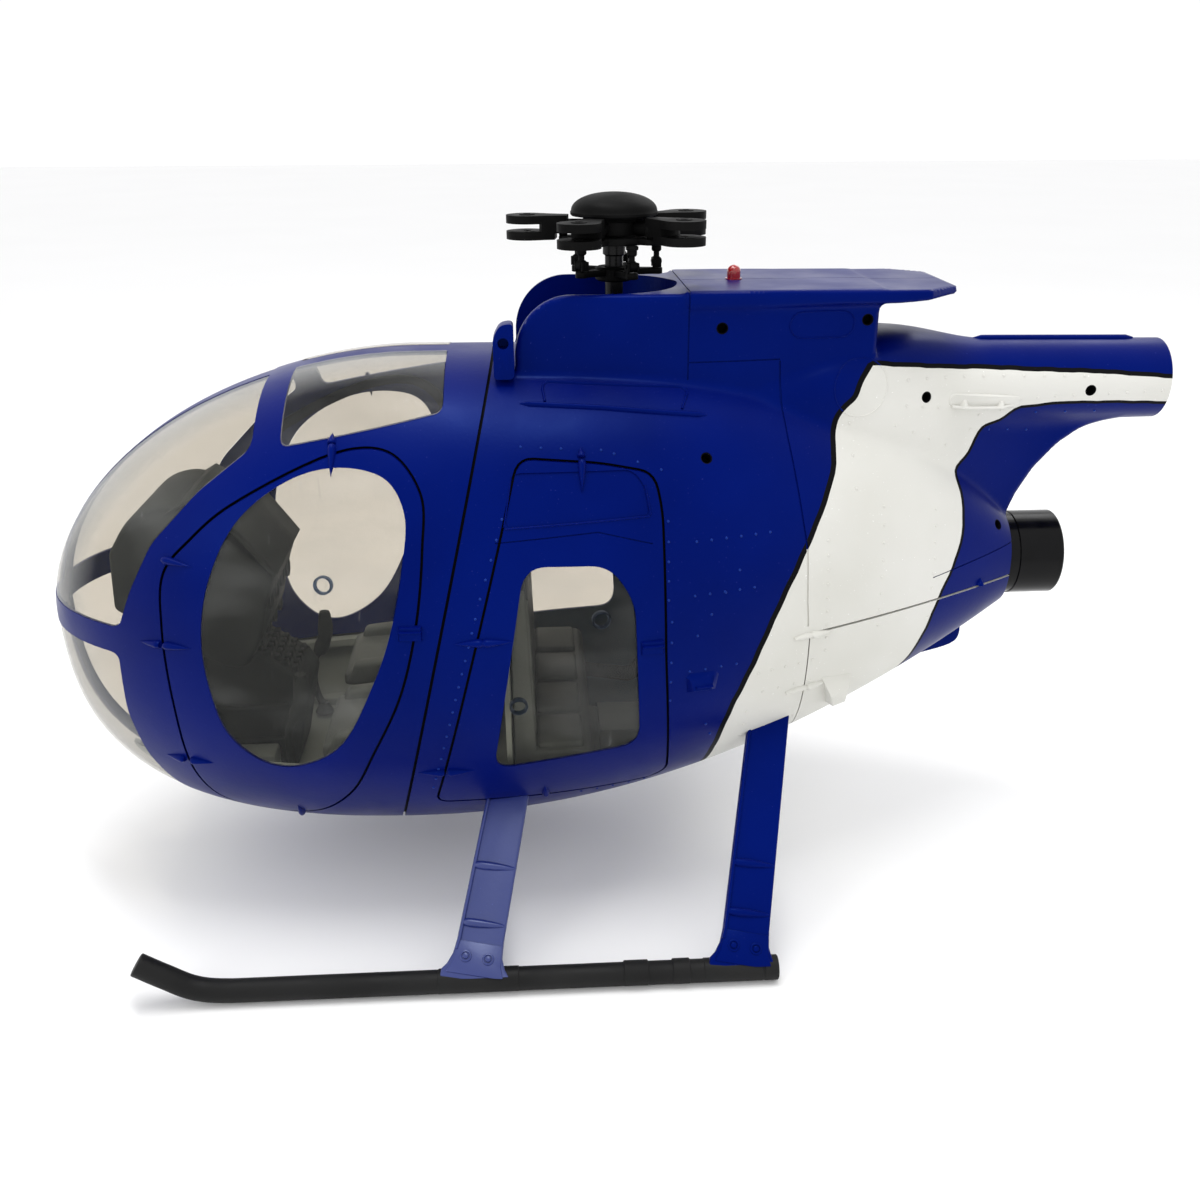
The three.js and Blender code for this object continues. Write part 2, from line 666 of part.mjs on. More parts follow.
function bladeGrip() {
  const half = (GRIP_SLOT + 2 * GRIP_PLATE) / 2;
  const reach = Math.PI * 0.62;
  const pad = ellipsePoints(GRIP_RADIUS, 0, GRIP_PAD_R, GRIP_PAD_R, -reach, reach, 11);
  const outline = [[26, -7], ...pad, [26, 7]];
  const slot = box(34, 80, -20, 20, GRIP_Z - GRIP_SLOT / 2, GRIP_Z + GRIP_SLOT / 2);
  const pads = planPrism(outline, GRIP_Z - half, GRIP_Z + half).subtract(slot);
  const shoulder = box(18, 28, -6, 6, 398.5, 405);
  const bolt = rod(GRIP_RADIUS, 0, GRIP_Z - half - 1, GRIP_Z + half + 1, 2.2, 8);
  const neckRoom = rod(0, 0, 390, 412, 17.5, 24);
  const domeRoom = rod(0, 0, 408.4, 430, 26, 24);
  const plateRoom = box(0, 33, -9, 9, 380, 398.4);
  return union(pads, shoulder.subtract(neckRoom)).subtract(bolt).subtract(domeRoom).subtract(plateRoom);
}

function pitchLink() {
  const drop = rod(LINK_RADIUS, 0, STAR_Z + 3.3, 393, 1.8, 8);
  return union(drop, rod(LINK_RADIUS, 0, STAR_Z + 3.3, STAR_Z + 7, 2.6, 8));
}

function linkStar() {
  const arm = union(box(6, 28, -3, 3, STAR_Z, STAR_Z + 3), rod(LINK_RADIUS, 0, STAR_Z, STAR_Z + 3, 3.4, 8));
  const arms = [];
  for (let i = 0; i < GRIP_COUNT; i++) {
    arms.push(onRotor(arm, FIRST_GRIP_DEG - LINK_LAG_DEG + (360 / GRIP_COUNT) * i));
  }
  const ring = rod(MAST_X, 0, STAR_Z - 4, STAR_Z + 4, 11, 16);
  return union(ring, ...arms).subtract(rod(MAST_X, 0, 360, 390, MAST_R + TOUCH, 12));
}

add("rotor_mast", rotorMast(), blackPlastic);
add("hub_plate", hubPlate(), blackPlastic);
add("hub_dome", hubDome(), blackPlastic);
add("link_star", linkStar(), blackPlastic);
for (let i = 0; i < GRIP_COUNT; i++) {
  const degrees = FIRST_GRIP_DEG + (360 / GRIP_COUNT) * i;
  add("blade_grip_" + (i + 1), onRotor(bladeGrip(), degrees), blackPlastic);
  add("pitch_link_" + (i + 1), onRotor(pitchLink(), degrees - LINK_LAG_DEG), blackPlastic);
}

// The boot round the foot of the mast stays with the fuselage.
function mastBoot() {
  const profile = [[MAST_R + 1, 0], [19, 0], [19, 5], [12, 11], [10, 30], [MAST_R + 1, 30], [MAST_R + 1, 0]];
  const points = profile.map(([r, z]) => new THREE.Vector2(r, 326 + z));
  const sleeve = solid(new THREE.LatheGeometry(points, 20).rotateX(Math.PI / 2).translate(MAST_X, 0, 0));
  return sleeve.subtract(podClear);
}

add("mast_boot", mastBoot(), blackPlastic);
add("beacon_lens", rod(77, 0, 371.3, 380, 4, 16, 3), () => material(0xb01010, 0.2));

// ---- Landing gear ----

function skid() {
  const z = SKID_R;
  const y = -SKID_Y;
  const toe = SKID_TOE_X;
  const path = [
    [toe, y, z + 21], [toe + 14, y, z + 12], [toe + 30, y, z + 3], [toe + 50, y, z],
    [toe + 90, y, z], [-60, y, z], [SKID_HEEL_X, y, z],
  ];
  const tube = tubeAlong(path, SKID_R + 0.25, 10, 16);
  const collar = (x0, x1) => {
    const ring = new THREE.CylinderGeometry(COLLAR_R, COLLAR_R, x1 - x0, 10).rotateZ(Math.PI / 2);
    return solid(ring.translate((x0 + x1) / 2, y, z));
  };
  const whole = union(tube, collar(0, 14), collar(28, 38), collar(SKID_HEEL_X - 8, SKID_HEEL_X));
  return whole.subtract(box(-FAR, FAR, -FAR, FAR, -FAR, 0));
}

// A flat leg from the pod's lower side down to the top of the skid.
function strut(top, foot) {
  const down = new THREE.Vector3(foot.x - top.x, foot.y - top.y, foot.z - top.z);
  const length = down.length();
  down.normalize();
  const across = new THREE.Vector3(1, 0, 0).addScaledVector(down, -down.x).normalize();
  const through = new THREE.Vector3().crossVectors(across, down);
  const outline = [[-12.5, -16], [12.5, -16], [14, length + 12], [-14, length + 12]];
  const shape = new THREE.Shape(outline.map(([a, b]) => new THREE.Vector2(a, b)));
  const leg = new THREE.ExtrudeGeometry(shape, { depth: STRUT_THICKNESS, bevelEnabled: false });
  leg.translate(0, 0, -STRUT_THICKNESS / 2);
  leg.applyMatrix4(new THREE.Matrix4().makeBasis(across, down, through).setPosition(top.x, top.y, top.z));
  const ground = box(-FAR, FAR, -FAR, FAR, -FAR, STRUT_FOOT_Z);
  return solid(leg).subtract(podClear).subtract(ground);
}

addPair("strut_front", strut({ x: -66, y: -96, z: 75 }, { x: -85, y: -SKID_Y, z: 13 }), bluePaint);
addPair("strut_rear", strut({ x: 95, y: -80, z: 110 }, { x: 68.5, y: -SKID_Y, z: 13 }), bluePaint);
addPair("skid", skid(), blackPlastic);

// A small eye under the rear of the pod.
function bellyLug() {
  const profile = [[196, 120], [236, 132], [238, 150], [205, 155], [196, 140]];
  return sidePrism(profile, -4, 4).subtract(podClear);
}

add("belly_lug", bellyLug(), bluePaint);

// ---- The model ----

const helicopter = new THREE.Group();
for (const { name, made, look } of nodes) {
  const mesh = new THREE.Mesh(geometryOf(made), look());
  mesh.name = name;
  helicopter.add(mesh);
}

export default helicopter;
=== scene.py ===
"""A large-scale light helicopter toy: an egg-shaped cabin on two skids, standing on a pale studio floor.

Shapes are worked out in millimetres, +X to the tail and +Z up, and become metres as meshes are made.
"""

import math

import bmesh
import bpy
import numpy as np
from mathutils import Matrix, Vector

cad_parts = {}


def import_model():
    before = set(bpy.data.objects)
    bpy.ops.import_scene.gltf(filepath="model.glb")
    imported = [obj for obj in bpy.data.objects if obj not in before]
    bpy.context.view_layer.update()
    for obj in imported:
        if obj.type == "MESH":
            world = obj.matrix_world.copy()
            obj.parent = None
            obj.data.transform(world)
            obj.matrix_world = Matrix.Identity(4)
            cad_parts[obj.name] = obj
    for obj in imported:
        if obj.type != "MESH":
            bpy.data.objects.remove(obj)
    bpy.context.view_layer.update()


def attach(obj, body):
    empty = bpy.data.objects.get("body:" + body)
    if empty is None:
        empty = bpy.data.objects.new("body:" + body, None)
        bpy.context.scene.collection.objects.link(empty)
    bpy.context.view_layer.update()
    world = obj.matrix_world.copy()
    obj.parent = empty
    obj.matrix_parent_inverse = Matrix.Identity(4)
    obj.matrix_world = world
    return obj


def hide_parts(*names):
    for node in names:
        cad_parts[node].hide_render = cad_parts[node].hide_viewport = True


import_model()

MM = 0.001
LEFT, RIGHT = -1, 1
SIDES = {"left": LEFT, "right": RIGHT}

# ---- Driving dimensions, the same as the CAD part's ----

NOSE_X, WIDEST_X, TAIL_X = -343, -113, 256
ROOF_Z, BELLY_Z, WAIST_Z, LIP_Z, LIP_R = 334, 34, 178, 195, 31
HALF_WIDTH = 125
SECTION_POWER = 2.25
SKIN = 2.2
DOOR_GAP = 1.5
SEAM_GAP = 1.7
SEAM_TOP, SEAM_FOOT = (-66, 334), (-131, 56)
CENTRE_POST, CHIN_POST = 8, 5
BAND_TOP_Z, BAND_FOOT_Z = 195, 179
BOOM_Z, BOOM_R, BOOM_END_X = 309, 25.6, 343
FAIRING_FRONT_X, FAIRING_SPLIT_X, FAIRING_REAR_X, FAIRING_HALF, FAIRING_ROOF_Z = -53, 45, 155, 46, 370
RECESS_R = 41
MAST_X = 6
BEACON_X = 77
FRONT_END_X = 20  # how far back the solids for the front half and its doors run before they are cut
ENGINE_DOOR_X, ENGINE_DOOR_TOP_Z, ENGINE_DOOR_SLOPE = 115, 181, 0.07
FAR = 500
WIDE = 160

# ---- Camera ----


def add_camera():
    """The camera where the photograph was taken from: to port, a little ahead and above."""
    place = Vector((-0.0449252, -0.7236344, 0.4719306))
    yaw, pitch, roll = 0.05794841, 0.39728472, -0.00372452
    ahead = Vector((math.sin(yaw) * math.cos(pitch), math.cos(yaw) * math.cos(pitch), -math.sin(pitch)))
    level = Vector((math.cos(yaw), -math.sin(yaw), 0))
    upright = level.cross(ahead)
    right = level * math.cos(roll) + upright * math.sin(roll)
    above = upright * math.cos(roll) - level * math.sin(roll)
    camera = bpy.data.objects.new("camera", bpy.data.cameras.new("camera"))
    turn = Matrix((right, above, -ahead)).transposed().to_4x4()
    camera.matrix_world = Matrix.Translation(place) @ turn
    camera.data.sensor_width = 36
    camera.data.lens = 36.03
    bpy.context.collection.objects.link(camera)
    bpy.context.scene.camera = camera


# ---- Fields: about the distance in mm from the body's outer surface, negative inside ----


def bulge(u, power):
    return np.maximum(0, 1 - np.clip(u, 0, 1) ** power) ** (1 / power)


def smooth_step(x, start, end):
    t = np.clip((x - start) / (end - start), 0, 1)
    return t * t * (3 - 2 * t)


def blend_min(a, b, radius):
    h = np.clip(0.5 + 0.5 * (b - a) / radius, 0, 1)
    return b + (a - b) * h - radius * h * (1 - h)


def blend_max(a, b, radius):
    return -blend_min(-a, -b, radius)


def mix(a, b, t):
    return a + (b - a) * t


def pod_station(x, inset=0.0):
    """Top, foot, half width and waist height of the pod at x, for a surface inset from the skin."""
    x = np.asarray(x, float)
    roof, belly, half, lip = ROOF_Z - inset, BELLY_Z + inset, HALF_WIDTH - inset, LIP_R - inset
    u = (WIDEST_X - x) / (WIDEST_X - NOSE_X - inset)
    s = np.maximum(0, (x - WIDEST_X) / (TAIL_X - WIDEST_X))
    front = x <= WIDEST_X
    top = np.where(front, WAIST_Z + (roof - WAIST_Z) * bulge(u, 1.9), roof + (LIP_Z + lip - roof) * s**3.8)
    foot = np.where(front, WAIST_Z + (belly - WAIST_Z) * bulge(u, 2.8),
                    belly + (LIP_Z - lip - belly) * s**1.9)
    wide = np.where(front, half * bulge(u, 2.1), half + (lip - half) * s**2.1)
    waist = WAIST_Z + (LIP_Z - WAIST_Z) * np.maximum(0, x / TAIL_X) ** 1.3
    return top, foot, wide, waist


def oval_field(y, rise_from, half, rise, power):
    share = ((np.abs(y) / half) ** power + (np.abs(rise_from) / rise) ** power) ** (1 / power)
    reach = np.hypot(y, rise_from)
    return reach - reach / np.maximum(share, 1e-3)


def pod_field(x, y, z):
    top, foot, half, waist = pod_station(x)
    rise = np.where(z >= waist, top - waist, waist - foot)
    return oval_field(y, z - waist, np.maximum(half, 0.5), np.maximum(rise, 0.5), SECTION_POWER)


def fairing_field(x, y, z):
    """The upright box round the mast, round at its front top and slightly narrower behind."""
    wall = np.abs(y) - (FAIRING_HALF - 4.5 * smooth_step(x, 70, FAIRING_REAR_X))
    cheek = (np.hypot((x + 21) / 32, (z - 337) / 33) - 1) * 32
    profile = np.where((x < -21) & (z > 337), cheek, np.maximum(FAIRING_FRONT_X - x, z - FAIRING_ROOF_Z))
    profile = blend_max(profile, x - FAIRING_REAR_X, 3)
    block = np.maximum(blend_max(profile, wall, 3), 290 - z)
    return blend_min(block, roof_field(x, y, z), 5)


def roof_field(x, y, z):
    """The flat roof behind the mast, which runs on as an overhang with cut-off corners."""
    corner = (x - 203) * 0.64 + (np.abs(y) - 30) * 0.77
    edge = np.maximum(np.maximum(np.abs(y) - 47, FAIRING_SPLIT_X - x), np.maximum(x - 202, corner))
    underside = 363.5 + 2.5 * smooth_step(x, 160, 200)
    return blend_max(edge, np.maximum(z - 371, underside - z), 2.5)


def boom_field(x, y, z):
    """The shoulder behind the mast, which narrows into the round tail boom stub."""
    narrow = smooth_step(x, 120, 235)
    half = mix(46 + 5 * smooth_step(x, 60, 120), BOOM_R, narrow) - np.maximum(0, x - 235) * 0.012
    top = mix(320 + 18 * smooth_step(x, 50, 150), BOOM_Z + half, narrow)
    foot = mix(252, BOOM_Z - half, narrow)
    middle = (top + foot) / 2
    round_off = mix(4.0, 2.0, narrow)
    return blend_max(oval_field(y, z - middle, half, (top - foot) / 2, round_off), 50 - x, 2)


def polygon_field(x, z, points):
    """Signed distance to a closed outline."""
    best = np.full(np.shape(x), 1e9)
    inside = np.zeros(np.shape(x), bool)
    for (ax, az), (bx, bz) in zip(points, points[1:] + points[:1]):
        ex, ez = bx - ax, bz - az
        t = np.clip(((x - ax) * ex + (z - az) * ez) / (ex * ex + ez * ez), 0, 1)
        best = np.minimum(best, np.hypot(x - ax - ex * t, z - az - ez * t))
        if az != bz:
            inside ^= ((az > z) != (bz > z)) & (x < ex * (z - az) / ez + ax)
    return np.where(inside, -best, best)


WEB_OUTLINE = [
    (140, 200), (140, 300), (322, 300), (316, 290), (302, 281), (286, 269), (272, 254), (262, 238),
    (257, 226), (240, 200),
]


def web_field(x, y, z):
    """The fin that fills in between the boom and the pod."""
    half = mix(40, 7.5, smooth_step(x, 150, 290))
    return blend_max(polygon_field(x, z, WEB_OUTLINE), np.abs(y) - half, 4)


def body_field(x, y, z):
    upper = blend_min(fairing_field(x, y, z), boom_field(x, y, z), 2.5)
    upper = blend_min(upper, web_field(x, y, z), 9)
    pod = blend_max(pod_field(x, y, z), x - TAIL_X - 4, 1)
    return blend_min(pod, upper, 3.5)


def gradient(field, points, step=0.2):
    """The field's slope at each point, as unit vectors."""
    out = np.empty_like(points)
    for axis in range(3):
        ahead, behind = points.copy(), points.copy()
        ahead[:, axis] += step
        behind[:, axis] -= step
        out[:, axis] = (field(*ahead.T) - field(*behind.T)) / (2 * step)
    return out


def unit(vectors):
    return vectors / np.maximum(np.linalg.norm(vectors, axis=1, keepdims=True), 1e-9)


# ---- Meshes ----


def new_object(name, points, faces):
    """An object from points in mm."""
    mesh = bpy.data.meshes.new(name)
    mesh.from_pydata((np.asarray(points, float) * MM).tolist(), [], faces)
    mesh.validate()
    made = bpy.data.objects.new(name, mesh)
    bpy.context.collection.objects.link(made)
    return made


def net_mesh(field, low, high, step):
    """A closed mesh of the field's zero surface, one point in each grid cell that it passes through."""
    axes = [np.arange(a, b + step, step) for a, b in zip(low, high)]
    x, y, z = np.meshgrid(*axes, indexing="ij")
    value = field(x, y, z)
    inside = value < 0
    corners = [(i, j, k) for i in (0, 1) for j in (0, 1) for k in (0, 1)]
    size = [n - 1 for n in value.shape]

    def shifted(grid, corner):
        return grid[tuple(slice(c, c + n) for c, n in zip(corner, size))]

    count = sum(shifted(inside, c).astype(np.int8) for c in corners)
    cells = np.argwhere((count > 0) & (count < 8))
    number = -np.ones(size, int)
    number[tuple(cells.T)] = np.arange(len(cells))
    total, hits = np.zeros((len(cells), 3)), np.zeros(len(cells))
    at = {c: value[tuple((cells + c).T)] for c in corners}
    for a in corners:
        for axis in range(3):
            if a[axis]:
                continue
            b = tuple(v + (n == axis) for n, v in enumerate(a))
            crossed = (at[a] < 0) != (at[b] < 0)
            share = np.where(crossed, at[a] / np.where(crossed, at[a] - at[b], 1), 0)
            place = cells + np.array(a, float)
            place[:, axis] += share
            total += place * crossed[:, None]
            hits += crossed
    points = np.array(low) + step * total / hits[:, None]
    for _ in range(4):
        slope = gradient(field, points)
        move = field(*points.T) / np.maximum((slope**2).sum(1), 0.05)
        points -= slope * np.clip(move, -0.5 * step, 0.5 * step)[:, None]
    faces = []
    for axis in range(3):
        first, second = [n for n in range(3) if n != axis]
        near = [slice(0, n) for n in value.shape]
        far = list(near)
        near[axis], far[axis] = slice(0, -1), slice(1, None)
        for sign in (1, -1):
            here, there = inside[tuple(near)], inside[tuple(far)]
            edges = np.argwhere(here & ~there if sign > 0 else ~here & there)
            ring = []
            for du, dv in ((-1, -1), (0, -1), (0, 0), (-1, 0)):
                cell = edges.copy()
                cell[:, first] += du
                cell[:, second] += dv
                ring.append(number[tuple(cell.T)])
            quad = np.stack(ring if (sign > 0) != (axis == 1) else ring[::-1], 1)
            faces += quad.tolist()
    return points, faces


def pod_mesh(inset, end_x, rows=(44, 52), sides=112):
    """The pod as a closed mesh out to end_x, from rings of points along it."""
    sweep = np.linspace(0, math.pi / 2, rows[0] + 1)[1:]
    front = WIDEST_X - (WIDEST_X - NOSE_X - inset) * np.cos(sweep)
    rear = np.linspace(WIDEST_X, end_x, rows[1] + 1)[1:]
    turn = 2 * math.pi * np.arange(sides) / sides
    across = np.sign(np.cos(turn)) * np.abs(np.cos(turn)) ** (2 / SECTION_POWER)
    upward = np.sign(np.sin(turn)) * np.abs(np.sin(turn)) ** (2 / SECTION_POWER)
    points = [(NOSE_X + inset, 0, WAIST_Z)]
    for x in np.concatenate([front, rear]):
        top, foot, half, waist = (float(v) for v in pod_station(x, inset))
        rise = np.where(upward >= 0, top - waist, waist - foot)
        points += list(zip(np.full(sides, x), half * across, waist + rise * upward))
    stations = rows[0] + rows[1]
    faces = [(0, 1 + (i + 1) % sides, 1 + i) for i in range(sides)]
    for row in range(stations - 1):
        base = 1 + row * sides
        for i in range(sides):
            j = (i + 1) % sides
            faces.append((base + i, base + j, base + sides + j, base + sides + i))
    faces.append(tuple(range(len(points) - sides, len(points))))
    return points, faces


def prism(outline, y0, y1):
    """A side outline of (x, z) carried across from y0 to y1."""
    n = len(outline)
    area = sum(a[0] * b[1] - b[0] * a[1] for a, b in zip(outline, outline[1:] + outline[:1]))
    ring = outline if area > 0 else outline[::-1]
    points = [(x, y0, z) for x, z in ring] + [(x, y1, z) for x, z in ring]
    faces = [tuple(range(n)), tuple(range(2 * n - 1, n - 1, -1))]
    faces += [(i, n + i, n + (i + 1) % n, (i + 1) % n) for i in range(n)]
    return new_object("cutter", points, faces)


def plan_prism(outline, z0, z1):
    """A plan outline of (x, y) carried up from z0 to z1."""
    made = prism(outline, z0, z1)
    for v in made.data.vertices:
        v.co = (v.co.x, v.co.z, v.co.y)
    made.data.flip_normals()
    return made


def box(x0, x1, y0, y1, z0, z1):
    return prism([(x0, z0), (x1, z0), (x1, z1), (x0, z1)], y0, y1)


def bake(obj):
    """Applies the object's modifiers."""
    depsgraph = bpy.context.evaluated_depsgraph_get()
    mesh = bpy.data.meshes.new_from_object(obj.evaluated_get(depsgraph))
    obj.modifiers.clear()
    old, obj.data = obj.data, mesh
    bpy.data.meshes.remove(old)
    return obj


def carve(obj, cutter, how="DIFFERENCE", keep=False):
    """A boolean with a closed mesh, which is then removed."""
    slots = len(obj.data.materials)
    cut = obj.modifiers.new("cut", "BOOLEAN")
    cut.operation = how
    cut.solver = "MANIFOLD"
    cut.object = cutter
    bake(obj)
    # The cut adds an empty material slot for the cutter's faces; they take the first material instead.
    index = np.zeros(len(obj.data.polygons), np.int32)
    obj.data.polygons.foreach_get("material_index", index)
    index[index >= max(1, slots)] = 0
    while len(obj.data.materials) > slots:
        obj.data.materials.pop()
    obj.data.polygons.foreach_set("material_index", index)
    if not keep:
        bpy.data.objects.remove(cutter)
    return obj


def copy_of(obj, name):
    made = bpy.data.objects.new(name, obj.data.copy())
    bpy.context.collection.objects.link(made)
    return made


# ---- Outlines on the pod's side, (x, z) in mm ----


def smooth_outline(points, sides):
    """A closed Catmull-Rom curve through the points."""
    n = len(points)
    knots = [np.array(p, float) for p in points]
    out = []
    per = max(2, round(sides / n))
    for i in range(n):
        p0, p1, p2, p3 = (knots[(i + k) % n] for k in (-1, 0, 1, 2))
        gaps = [max(math.dist(a, b) ** 0.5, 1e-6) for a, b in ((p0, p1), (p1, p2), (p2, p3))]
        m1 = (p2 - p1) + gaps[1] * ((p1 - p0) / gaps[0] - (p2 - p0) / (gaps[0] + gaps[1]))
        m2 = (p2 - p1) + gaps[1] * ((p3 - p2) / gaps[2] - (p3 - p1) / (gaps[1] + gaps[2]))
        for k in range(per):
            t = k / per
            a, b, c, d = 2 * t**3 - 3 * t**2 + 1, t**3 - 2 * t**2 + t, -2 * t**3 + 3 * t**2, t**3 - t**2
            out.append(tuple(a * p1 + b * m1 + c * p2 + d * m2))
    return out


def rounded(points, radius, steps=5):
    """An outline with its corners rounded off."""
    n = len(points)
    out = []
    for i in range(n):
        before, corner, after = (np.array(points[(i + k) % n], float) for k in (-1, 0, 1))
        a, b = before - corner, after - corner
        reach = min(radius, 0.45 * np.hypot(*a), 0.45 * np.hypot(*b))
        a, b = corner + a / np.hypot(*a) * reach, corner + b / np.hypot(*b) * reach
        for k in range(steps + 1):
            t = k / steps
            out.append(tuple((1 - t) ** 2 * a + 2 * t * (1 - t) * corner + t * t * b))
    return out


def grown(points, distance):
    """An outline moved outwards, or inwards for a negative distance."""
    n = len(points)
    area = sum(points[i][0] * points[(i + 1) % n][1] - points[(i + 1) % n][0] * points[i][1]
               for i in range(n))
    side = 1 if area > 0 else -1
    out = []
    for i, (x, z) in enumerate(points):
        ax, az = points[i - 1]
        bx, bz = points[(i + 1) % n]
        length = math.hypot(bx - ax, bz - az) or 1
        out.append((x + side * distance * (bz - az) / length, z - side * distance * (bx - ax) / length))
    return out


FRONT_DOOR = smooth_outline(
    [
        (-253, 150), (-253, 200), (-249, 231), (-232, 250), (-209, 268), (-145, 296), (-120, 294),
        (-105, 275), (-105, 248), (-110, 208), (-121, 166), (-139, 127), (-157, 92), (-184, 66),
        (-212, 60), (-238, 68), (-250, 95),
    ],
    136,
)
FRONT_WINDOW = smooth_outline(
    [
        (-230, 197), (-229, 164), (-222, 135), (-205, 117), (-188, 114), (-160, 129), (-136, 172),
        (-124, 204), (-116, 240), (-114, 266), (-123, 282), (-145, 288), (-173, 283), (-204, 262),
        (-222, 231),
    ],
    120,
)
REAR_DOOR = rounded(
    [(-108, 80), (-53, 291), (-8, 287), (22, 281), (26, 262), (28, 178), (33, 88), (24, 79), (-60, 79)], 9
)
REAR_WINDOW = rounded([(-51, 237), (-4, 235), (10, 214), (14, 120), (-72, 110)], 13, 8)
WINDSHIELD = rounded(
    [(-281, BAND_TOP_Z), (-271, 218), (-256, 245), (-228, 273), (-198, 295), (-198, FAR), (-FAR, FAR),
     (-FAR, BAND_TOP_Z)],
    6,
)
SKYLIGHT = rounded([(-182, 296), (-93, 312), (-93, FAR), (-182, FAR)], 5)
CHIN_WINDOW = rounded(
    [(-284, BAND_FOOT_Z), (-FAR, BAND_FOOT_Z), (-FAR, 0), (-240, 0), (-253, 40), (-261, 60), (-271, 80),
     (-281, 107), (-286, 140)],
    6,
)
SEAM_SLOPE = (SEAM_TOP[0] - SEAM_FOOT[0]) / (SEAM_TOP[1] - SEAM_FOOT[1])


def seam_x(z, gap=0.0):
    return SEAM_TOP[0] + (z - SEAM_TOP[1]) * SEAM_SLOPE + gap


def engine_door_top(x):
    return ENGINE_DOOR_TOP_Z + (x - ENGINE_DOOR_X) * ENGINE_DOOR_SLOPE


ENGINE_DOOR = [
    (ENGINE_DOOR_X, 0), (ENGINE_DOOR_X, engine_door_top(ENGINE_DOOR_X)), (FAR, engine_door_top(FAR)),
    (FAR, 0),
]

# ---- Shells ----


def side_cut(outline, side, near=0):
    """A cutter through one side of the pod, from near out past the skin."""
    ends = sorted((side * near, side * WIDE))
    return prism(outline, *ends)


def pod_solid(inset, end_x=TAIL_X + 2, name="pod"):
    return new_object(name, *pod_mesh(inset, end_x))


def front_shell():
    shell = pod_solid(0, FRONT_END_X, "front_fuselage")
    behind = [(seam_x(0, -SEAM_GAP / 2), 0), (seam_x(FAR, -SEAM_GAP / 2), FAR), (FAR, FAR), (FAR, 0)]
    carve(shell, prism(behind, -WIDE, WIDE))
    carve(shell, lining_cutter(1))
    for side in SIDES.values():
        carve(shell, side_cut(grown(FRONT_DOOR, DOOR_GAP / 2), side))
        carve(shell, side_cut(WINDSHIELD, side, CENTRE_POST))
        carve(shell, side_cut(SKYLIGHT, side, CENTRE_POST + 2))
        carve(shell, side_cut(CHIN_WINDOW, side, CHIN_POST))
    return shell


REAR_START_X = -140  # ahead of the seam's foremost point
NET_STEP = 2.6
GROOVE_DEPTH = 0.7


def upper_body():
    """Everything behind the seam as one solid: pod, mast fairing, shoulder, fin and boom stub."""

    def field(x, y, z):
        return np.maximum(body_field(x, y, z), np.maximum(REAR_START_X - x, x - BOOM_END_X - 4))

    return net_mesh(field, (REAR_START_X - 6, -130, 26), (352, 130, 376), NET_STEP)


# Edges of the white band on the port side, from its top front corner down, and back up its rear.
BAND_FRONT = [
    (153, 328), (148, 321), (144, 311), (138, 305), (133, 298), (131, 288), (130, 276), (123, 257),
    (111, 232), (96, 201), (82, 167), (69, 133), (59, 81), (50, 20),
]
BAND_REAR = [
    (170, 20), (180, 118), (189, 148), (195, 168), (201, 188), (209, 206), (215, 225), (216, 244),
    (214, 259), (222, 270), (230, 285), (241, 289), (252, 298), (360, 298),
]
BAND_TOP = [(360, 312), (298, 317), (255, 319), (205, 322)]


def wavy(points, step=4.5, sway=0.16):
    """A polyline in short steps, with the slight wander of a brushed edge."""
    out = []
    for (ax, az), (bx, bz) in zip(points, points[1:]):
        length = math.hypot(bx - ax, bz - az)
        count = max(1, round(length / step))
        for k in range(count):
            x, z = ax + (bx - ax) * k / count, az + (bz - az) * k / count
            off = sway * (math.sin(0.31 * x + 0.23 * z) + 0.6 * math.sin(0.83 * x - 0.71 * z + 1))
            out.append((x - off * (bz - az) / length, z + off * (bx - ax) / length))
    return out


def curve_through(points):
    """A smooth open curve through the points."""
    n = len(points)
    closed = smooth_outline(points + points[-2:0:-1], 4 * (2 * n - 2))
    return closed[: 4 * (n - 1)] + [points[-1]]


WHITE_BAND = wavy(curve_through(BAND_FRONT) + curve_through(BAND_REAR) + BAND_TOP + BAND_FRONT[:1])


FRONT_LINE, TOP_LINE, REAR_LINE = 3.4, 2.6, 2.0


def black_edge():
    """The outside of the brushed line round the white band: wide in front, thin along the boom."""
    out = []
    for (x, z), (gx, gz) in zip(WHITE_BAND, grown(WHITE_BAND, 1)):
        width = FRONT_LINE if x < BAND_FRONT[0][0] else TOP_LINE if z > BOOM_Z else REAR_LINE
        out.append((x + (gx - x) * width, z + (gz - z) * width))
    return out


BLACK_BAND = black_edge()
BLUE, WHITE, BLACK = 0, 1, 2
WHITE_NAME = "paint_white"


